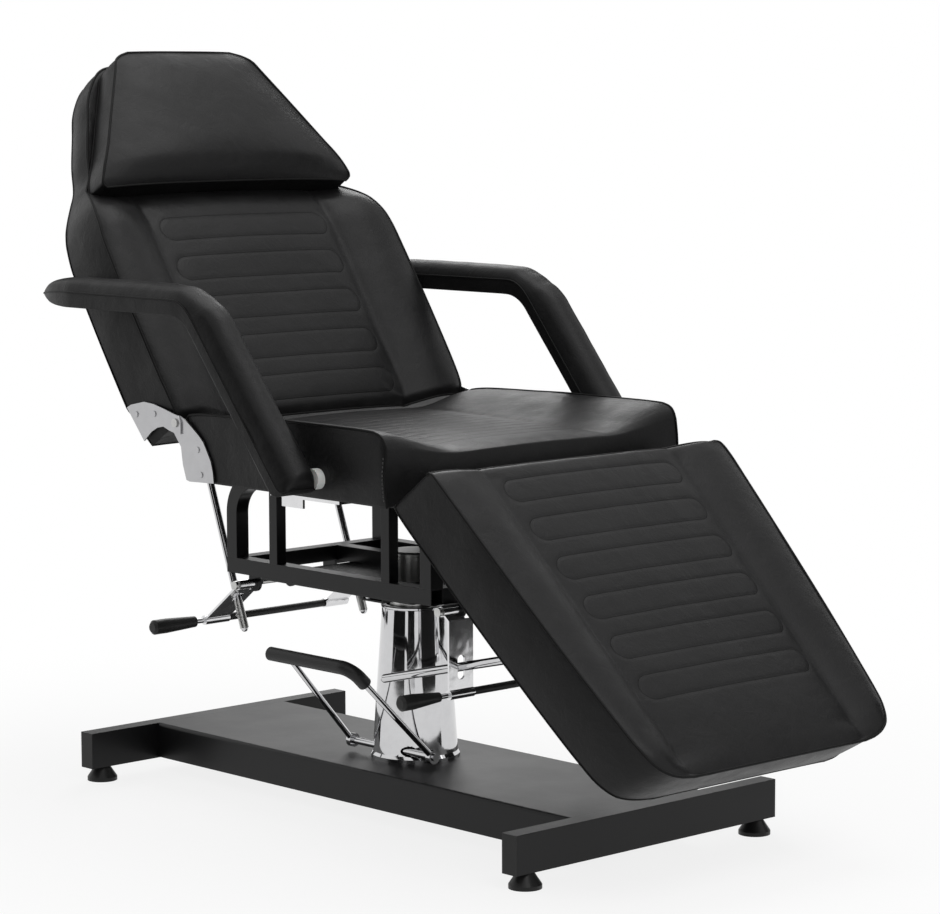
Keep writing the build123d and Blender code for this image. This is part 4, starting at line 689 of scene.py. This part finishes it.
# Head pillow: a wedge of foam strapped to the head end. Its ridge lies close above its lower edge,
# and cord runs round both its seams.
pillow_half_stations = ((0.441, 0.258), (0.447, 0.266), (0.46, 0.262), (0.52, 0.230), (0.60, 0.188),
                        (0.66, 0.156), (0.679, 0.146), (0.691, 0.131), (0.699, 0.110))
pillow_edge_stations = ((0.441, -0.004), (0.455, 0.004), (0.50, 0.010), (0.67, 0.012),
                        (0.699, 0.006))
pillow_crown_stations = ((0.441, 0.006), (0.448, 0.016), (0.463, 0.030), (0.474, 0.0385),
                         (0.480, 0.0405), (0.490, 0.0408), (0.60, 0.034), (0.66, 0.025),
                         (0.69, 0.014), (0.699, 0.008))
pillow_low = -0.0445


def no_seams(u, y):
    return np.ones(len(u)), np.zeros(len(u))


class Pillow(Cushion):
    """A cushion with one broad crown in place of bolsters."""

    def top(self, u, y):
        share = np.clip(np.abs(y) / self.half(u), 0, 1)
        return self.edge(u) + (self.middle(u) - self.edge(u)) * (1 - share ** 3.2)


pillow_shape = Pillow(
    hinge, up_back, out_of_back,
    half=lambda u: curve_through(u, pillow_half_stations),
    low=lambda u: np.full(len(u), pillow_low),
    edge=lambda u: curve_through(u, pillow_edge_stations),
    bolster=None, valley=None,
    middle=lambda u: curve_through(u, pillow_crown_stations),
    inner=lambda u: np.full(len(u), -1.0), crease=0)
pillow_wrap = Wrap(spaced(-1, 1, grid_step / 0.22), spaced(0, 1, grid_step / 0.055),
                   spaced(0.441, 0.699, grid_step, fine=0.018))
pillow_points = upholster("head_pillow_cushion", pillow_shape, pillow_wrap, "head_pillow",
                          "backrest", bulge=0.004, pressure=4.0, cap=0.006, seams=no_seams, sink=0,
                          width=0.003, seed=7.7)
piping("pillow_piping", pillow_points[pillow_wrap.rim(pillow_wrap.size[1])], "backrest",
       radius=0.0022)
piping("pillow_rear_seam", pillow_points[pillow_wrap.rim(0)], "backrest", radius=0.0014)


# Seat: the same foam and cover, highest along its sides and dished in the middle, where fine
# lines cross it. Its side panels are piped round, and stitched down the front corners.
seat_x, seat_floor = -0.200, 0.5405
seat_half_stations = ((0.0, 0.303), (0.02, 0.3065), (0.10, 0.3085), (0.40, 0.3090), (0.47, 0.3100),
                      (0.483, 0.3090))
seat_edge_stations = ((0.0, 0.636), (0.010, 0.644), (0.055, 0.6485), (0.16, 0.651), (0.25, 0.6530),
                      (0.40, 0.6530), (0.450, 0.652), (0.465, 0.649), (0.473, 0.645),
                      (0.479, 0.638), (0.483, 0.628))
seat_middle_stations = ((0.0, 0.618), (0.02, 0.6265), (0.10, 0.6262), (0.25, 0.6235),
                        (0.40, 0.6200), (0.460, 0.6190), (0.473, 0.6185), (0.479, 0.6170),
                        (0.483, 0.6150))


def seat_seams(u, y):
    """Thirteen cross lines. The sign turns over halfway between two, so that it never jumps."""
    first, pitch, count, reach, fade = 0.075, 0.0285, 13, 0.150, 0.060
    number = np.clip(np.round((u - first) / pitch), 0, count - 1)
    off = (u - first - pitch * number) * np.where(number % 2 == 0, 1, -1)
    return off, np.clip((reach - np.abs(y)) / fade + 0.5, 0, 1)


class Seat(Cushion):
    """A cushion that falls all the way from its edges to its middle."""

    crown = 0.0025

    def top(self, u, y):
        half, edge, middle = self.half(u), self.edge(u), self.middle(u)
        inner = self.inner(u)
        t = np.clip((half - np.abs(y)) / (half - inner), 0, 1)
        share = np.clip(np.abs(y) / inner, 0, 1)
        return edge + (middle - edge) * t * t * (3 - 2 * t) + self.crown * (1 - share ** 2)


seat_shape = Seat(
    (seat_x, 0, 0), (1, 0, 0), (0, 0, 1),
    half=lambda u: curve_through(u, seat_half_stations),
    low=lambda u: np.full(len(u), seat_floor),
    edge=lambda u: curve_through(u, seat_edge_stations),
    bolster=None, valley=None,
    middle=lambda u: curve_through(u, seat_middle_stations) - Seat.crown,
    inner=lambda u: np.full(len(u), 0.158), crease=0)
seat_wrap = Wrap(spaced(-1, 1, grid_step / 0.31), spaced(0, 1, grid_step / 0.10),
                 spaced(0.004, 0.483, grid_step, fine=0.021))
seat_points = upholster("seat_cushion_cover", seat_shape, seat_wrap, "seat_cushion", "lift",
                        bulge=0.0045, pressure=3.0, cap=0.004, seams=seat_seams, sink=0.0004,
                        width=0.0040, seed=5.3)
for side_name, i in (("right", 0), ("left", seat_wrap.size[0])):
    panel_line = seat_points[seat_wrap.side(i)]
    piping(f"seat_side_piping_{side_name}", panel_line, "lift", radius=0.0020, closed=False)


def stitches(name, line, way, body):
    """A row of thread stitches beside a seam, each lying on the cover."""
    offset, pitch, length, radius = 0.0030, 0.0062, 0.0062 * 0.62, 0.0009
    reach = np.concatenate([[0], np.cumsum(np.linalg.norm(np.diff(line, axis=0), axis=1))])
    starts = np.arange(pitch, reach[-1] - pitch, pitch)
    threads = bmesh.new()
    for start in starts:
        ends = [Vector([np.interp(d, reach, line[:, axis]) for axis in range(3)])
                + Vector(way) * offset for d in (start, start + length)]
        run = ends[1] - ends[0]
        turn = run.to_track_quat("Z", "Y").to_matrix().to_4x4()
        shape = Matrix.Translation((ends[0] + ends[1]) / 2) @ turn
        size = Matrix.Diagonal((radius, radius, run.length / 2, 1))
        bmesh.ops.create_uvsphere(threads, u_segments=8, v_segments=6, radius=1,
                                  matrix=shape @ size)
    mesh = bpy.data.meshes.new(name)
    threads.to_mesh(mesh)
    threads.free()
    mesh.polygons.foreach_set("use_smooth", [True] * len(mesh.polygons))
    row = bpy.data.objects.new(name, mesh)
    bpy.context.collection.objects.link(row)
    mesh.materials.append(thread.material)
    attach(row, body)


thread = Finish("sewing_thread", Specular_IOR_Level=0.35, Sheen_Weight=0.3)
twist = thread.node("TexWave", {"wave_type": "BANDS", "bands_direction": "DIAGONAL"},
                    Vector=thread.place(), Scale=900.0, Distortion=1.0, Detail=1.0)
thread.feed(Base_Color=thread.between(twist, (0.014, 0.014, 0.014), (0.034, 0.034, 0.034)),
            Roughness=twist * 0.2 + 0.5, Normal=thread.relief(twist, 0.3, 0.0003))
for side_name, i, way in (("right", 0, -1), ("left", seat_wrap.size[0], 1)):
    corner_line = seat_points[[seat_wrap.index[(i, j, seat_wrap.size[2])]
                               for j in range(seat_wrap.size[1] - 1, 0, -1)]]
    stitches(f"seat_corner_stitches_{side_name}", corner_line, (-0.45, way, 0), "lift")


# Leg rest: a long cushion on its own board, a little narrower at the foot, with rounded foot
# corners, an underside that curves up to the foot, and six outlines sewn across it.
knee = np.array((0.3745, 0, 0.6057))
leg_angle = math.radians(44.0)
down_leg = (math.cos(leg_angle), 0, -math.sin(leg_angle))
out_of_leg = (math.sin(leg_angle), 0, math.cos(leg_angle))
leg_half_stations = ((0.0, 0.301), (0.005, 0.306), (0.022, 0.308), (0.10, 0.3035), (0.17, 0.2985),
                     (0.34, 0.2840), (0.46, 0.2702), (0.52, 0.2615), (0.545, 0.2535),
                     (0.560, 0.2445), (0.572, 0.2290), (0.580, 0.2060), (0.583, 0.1850))
leg_low_stations = ((0.0, -0.099), (0.45, -0.0995), (0.56, -0.0975), (0.583, -0.0930))
leg_edge_stations = ((0.0, -0.014), (0.004, -0.005), (0.012, 0.0), (0.03, 0.0015), (0.05, 0.002),
                     (0.52, 0.002), (0.56, -0.001), (0.583, -0.006))
leg_fade = ((0.0, 0.5), (0.03, 1.0), (0.535, 1.0), (0.572, 0.12), (0.583, 0.0))
leg_lean_stations = ((0.0, 0.17), (0.023, 0.155), (0.0586, 0.12), (0.105, 0.06), (0.17, 0.0),
                     (0.42, 0.0), (0.50, 0.08), (0.55, 0.22), (0.583, 0.31))


def leg_seams(u, y):
    return outlines(u, y, first=0.054, pitch=0.0746, count=6, half_width=0.0215,
                    reach=lambda centre: 0.187 - 0.021 * centre)


leg_shape = Cushion(
    knee, down_leg, out_of_leg,
    half=lambda u: curve_through(u, leg_half_stations),
    low=lambda u: curve_through(u, leg_low_stations),
    edge=lambda u: curve_through(u, leg_edge_stations),
    bolster=lambda u: curve_through(u, leg_edge_stations) + 0.010 * curve_through(u, leg_fade),
    valley=lambda u: curve_through(u, leg_edge_stations) - 0.009 * curve_through(u, leg_fade),
    middle=lambda u: curve_through(u, leg_edge_stations) - 0.004 * curve_through(u, leg_fade),
    inner=lambda u: 0.201 - 0.0265 * u, crease=0.0012,
    lean=lambda u: curve_through(u, leg_lean_stations))
leg_wrap = Wrap(spaced(-1, 1, grid_step / 0.30), spaced(0, 1, grid_step / 0.10),
                spaced(0.0, 0.583, grid_step, fine=0.040))
leg_points = upholster("leg_rest_cushion", leg_shape, leg_wrap, "leg_cushion", "legrest",
                       bulge=0.004, pressure=3.0, cap=0.005, seams=leg_seams, sink=0.0005,
                       width=0.0040, seed=9.2)
piping("leg_rest_piping", leg_points[leg_wrap.rim(leg_wrap.size[1])], "legrest", radius=0.0022)
piping("leg_rest_rear_seam", leg_points[leg_wrap.rim(0)], "legrest", radius=0.0012)


# Armrests: foam round a flat bar, covered in leathercloth with a sewn edge along each side. The
# arm runs level, bends down by the seat and turns on a bolt, and its rear end comes to a point.
arm_pivot = np.array(held["armrest_right"]["pos_m"], float)
arm_corner_x, arm_level_z, arm_tip_x = -0.085, 0.8325, -0.500
arm_reach, arm_bend, arm_half_width = 0.018, 0.085, 0.0318
slope_x, slope_z = arm_pivot[0] - arm_corner_x, arm_pivot[2] - arm_level_z
slope_length = math.hypot(slope_x, slope_z)
slope_angle = math.atan2(-slope_z, slope_x)
bend_trim = arm_bend * math.tan(slope_angle / 2)
level_run = arm_corner_x - arm_tip_x - bend_trim
bend_run = arm_bend * slope_angle
drop_run = slope_length - bend_trim + arm_reach
arm_run = level_run + bend_run + drop_run
arm_width_stations = ((0.0, 0.03), (0.006, 0.13), (0.020, 0.33), (0.045, 0.62), (0.075, 0.85),
                      (0.11, 1.0), (arm_run - 0.018, 1.0), (arm_run, 0.94))
arm_depth_stations = ((0.0, 0.0235), (level_run - 0.02, 0.0235), (level_run + bend_run, 0.0270),
                      (arm_run, 0.0270))
arm_top_stations = ((0.0, -0.27), (0.006, 0.02), (0.022, 0.44), (0.040, 0.68), (0.065, 0.87),
                    (0.10, 1.0), (level_run - 0.08, 1.0), (level_run, 0.90),
                    (level_run + bend_run * 0.35, 0.66),
                    (level_run + bend_run * 0.65, 0.64), (level_run + bend_run * 0.9, 0.84),
                    (level_run + bend_run * 1.25, 1.0), (arm_run, 1.0))
arm_low_stations = ((0.0, -0.33), (0.006, -0.42), (0.020, -0.60), (0.045, -0.84), (0.075, -0.96),
                    (0.10, -1.0), (arm_run, -1.0))
arm_side_stations = ((0.0, -0.30), (0.03, -0.15), (0.08, 0.02), (level_run, 0.02),
                     (level_run + bend_run, -0.36), (arm_run, -0.36))


class Arm:
    """The shape of one armrest, from the distance along its bent middle line."""

    def __init__(self, side):
        self.side = side
        self.origin = np.array((0, side * abs(arm_pivot[1]), 0))
        self.along_way = np.array((1.0, 0, 0))
        self.out_way = np.array((0, 0, 1.0))

    def half(self, c):
        return arm_half_width * curve_through(c, arm_width_stations)

    def inner(self, c):
        return np.full(len(c), -1.0)

    def line(self, c):
        """The middle line and its upward direction."""
        turn = np.clip((c - level_run) / bend_run, 0, 1) * slope_angle
        x = arm_tip_x + np.minimum(c, level_run) + arm_bend * np.sin(turn)
        z = arm_level_z - arm_bend * (1 - np.cos(turn))
        past = np.maximum(c - level_run - bend_run, 0)
        return x + past * math.cos(slope_angle), z - past * math.sin(slope_angle), turn

    def place(self, wrap, bulge):
        c = wrap.c
        x, z, turn = self.line(c)
        over = np.maximum(c - (arm_run - arm_reach), 0)
        round_end = np.sqrt(np.maximum(1 - (over / (arm_reach * 1.0005)) ** 2, 0))
        y = wrap.a * self.half(c)
        depth = curve_through(c, arm_depth_stations)
        low = depth * curve_through(c, arm_low_stations)
        side = depth * curve_through(c, arm_side_stations)
        crown = depth * curve_through(c, arm_top_stations)
        top = side + (crown - side) * np.sqrt(np.maximum(1 - np.abs(wrap.a) ** 2.4, 0))
        height = low + (top - low) * wrap.b
        height *= round_end
        return np.stack([x + height * np.sin(turn), self.origin[1] + y,
                         z + height * np.cos(turn)], axis=1)


arm_step = 0.0042
for side, body, node in ((-1, "arm_right", "arm_pad_right"), (1, "arm_left", "arm_pad_left")):
    arm_wrap = Wrap(spaced(-1, 1, arm_step / arm_half_width), spaced(0, 1, arm_step / 0.03),
                    spaced(0.0, arm_run - 0.0002, arm_step * 1.4, fine=0.026, fine_step=0.0015))
    arm_points = upholster(body + "_cushion", Arm(side), arm_wrap, node, body, bulge=0.002,
                           pressure=3.0, cap=0.002, seams=no_seams, sink=0, width=0.003,
                           seed=11.0 + side)
    piping(body + "_seam", arm_points[arm_wrap.rim(arm_wrap.size[1])], body, radius=0.0015)


# The studio: a pale floor that keeps the chair's shadow and fades to white, white all round,
# three soft boxes, and four dark flags that only glossy surfaces see.
def stage_panel(name, corners, finish, seen=True):
    mesh = bpy.data.meshes.new(name)
    mesh.from_pydata(corners, [], [(0, 1, 2, 3)])
    panel = bpy.data.objects.new(name, mesh)
    bpy.context.collection.objects.link(panel)
    mesh.materials.append(finish.material)
    panel.visible_camera = seen
    panel.visible_shadow = seen
    panel.visible_diffuse = seen
    return panel


floor_finish = Finish("studio_floor", Roughness=0.9, Specular_IOR_Level=0.1)
ground = floor_finish.clouds(3.0, 2.0, 0.5)
floor_finish.feed(Base_Color=floor_finish.between(ground, (0.93, 0.93, 0.93), (0.90, 0.90, 0.90)))
away = floor_finish.node("VectorMath", {"operation": "LENGTH"}, out="Value",
                         Vector=floor_finish.node("NewGeometry", out="Position"))
fade = floor_finish.node("MapRange", {"interpolation_type": "SMOOTHSTEP"}, Value=away,
                         From_Min=0.55, From_Max=1.7, To_Min=0.84, To_Max=1.0)
in_view = (floor_finish.node("LightPath", out="Is Camera Ray")
           + floor_finish.node("LightPath", out="Is Glossy Ray")
           + floor_finish.node("LightPath", out="Is Transmission Ray"))
floor_finish.veil(fade * in_view, (1, 1, 1, 1))
stage_panel("floor", [(-9, -9, 0), (9, -9, 0), (9, 9, 0), (-9, 9, 0)], floor_finish)
flag_finish = Finish("studio_flag", Roughness=1.0, Specular_IOR_Level=0.0)
cloth_noise = flag_finish.clouds(20.0, 2.0, 0.5)
flag_finish.feed(Base_Color=flag_finish.between(cloth_noise, (0.01, 0.01, 0.01),
                                                (0.02, 0.02, 0.02)))


def flag(name, azimuth, distance, width, low, high):
    """An upright dark panel, facing the chair."""
    angle = math.radians(azimuth)
    middle = Vector((math.sin(angle) * distance, -math.cos(angle) * distance, 0))
    along = Vector((math.cos(angle), math.sin(angle), 0)) * width / 2
    corners = [middle - along + Vector((0, 0, low)), middle + along + Vector((0, 0, low)),
               middle + along + Vector((0, 0, high)), middle - along + Vector((0, 0, high))]
    return stage_panel(name, [tuple(c) for c in corners], flag_finish, seen=False)


flag("flag_left", azimuth=-6, distance=3.0, width=2.4, low=0.0, high=2.6)
flag("flag_right", azimuth=156, distance=3.0, width=1.8, low=0.0, high=2.2)
flag("flag_behind", azimuth=-133, distance=3.3, width=4.2, low=0.85, high=3.0)
flag("flag_front", azimuth=36, distance=4.6, width=1.8, low=0.0, high=2.4)

world = bpy.data.worlds.new("studio")
bpy.context.scene.world = world
world.use_nodes = True
surround = world.node_tree
for node in list(surround.nodes):
    surround.nodes.remove(node)
output = surround.nodes.new("ShaderNodeOutputWorld")
path = surround.nodes.new("ShaderNodeLightPath")
seen = surround.nodes.new("ShaderNodeMath")
seen.operation = "MAXIMUM"
surround.links.new(path.outputs["Is Camera Ray"], seen.inputs[0])
clear = surround.nodes.new("ShaderNodeMath")
clear.operation = "MAXIMUM"
surround.links.new(path.outputs["Is Glossy Ray"], clear.inputs[0])
surround.links.new(path.outputs["Is Transmission Ray"], clear.inputs[1])
surround.links.new(clear.outputs[0], seen.inputs[1])
fill = surround.nodes.new("ShaderNodeBackground")
fill.inputs["Color"].default_value = (1, 1, 1, 1)
fill.inputs["Strength"].default_value = 0.45
white = surround.nodes.new("ShaderNodeBackground")
white.inputs["Color"].default_value = (1, 1, 1, 1)
white.inputs["Strength"].default_value = 1.0
choose = surround.nodes.new("ShaderNodeMixShader")
surround.links.new(seen.outputs[0], choose.inputs[0])
surround.links.new(fill.outputs[0], choose.inputs[1])
surround.links.new(white.outputs[0], choose.inputs[2])
surround.links.new(choose.outputs[0], output.inputs["Surface"])


def soft_box(name, place, target, width, height, power):
    lamp = bpy.data.lights.new(name, "AREA")
    lamp.shape = "RECTANGLE"
    lamp.size, lamp.size_y = width, height
    lamp.energy = power
    box = bpy.data.objects.new(name, lamp)
    bpy.context.collection.objects.link(box)
    box.location = place
    box.rotation_mode = "QUATERNION"
    box.rotation_quaternion = (Vector(target) - Vector(place)).to_track_quat("-Z", "Y")
    return box


soft_box("key", (2.6, -0.6, 2.9), target=(0.1, 0.0, 0.6), width=1.6, height=1.2, power=26)
soft_box("top", (0.0, 0.4, 3.2), target=(0.0, 0.0, 0.5), width=2.2, height=1.6, power=26)
soft_box("rim", (-2.4, 2.2, 1.9), target=(0.0, 0.0, 0.7), width=1.2, height=1.8, power=30)
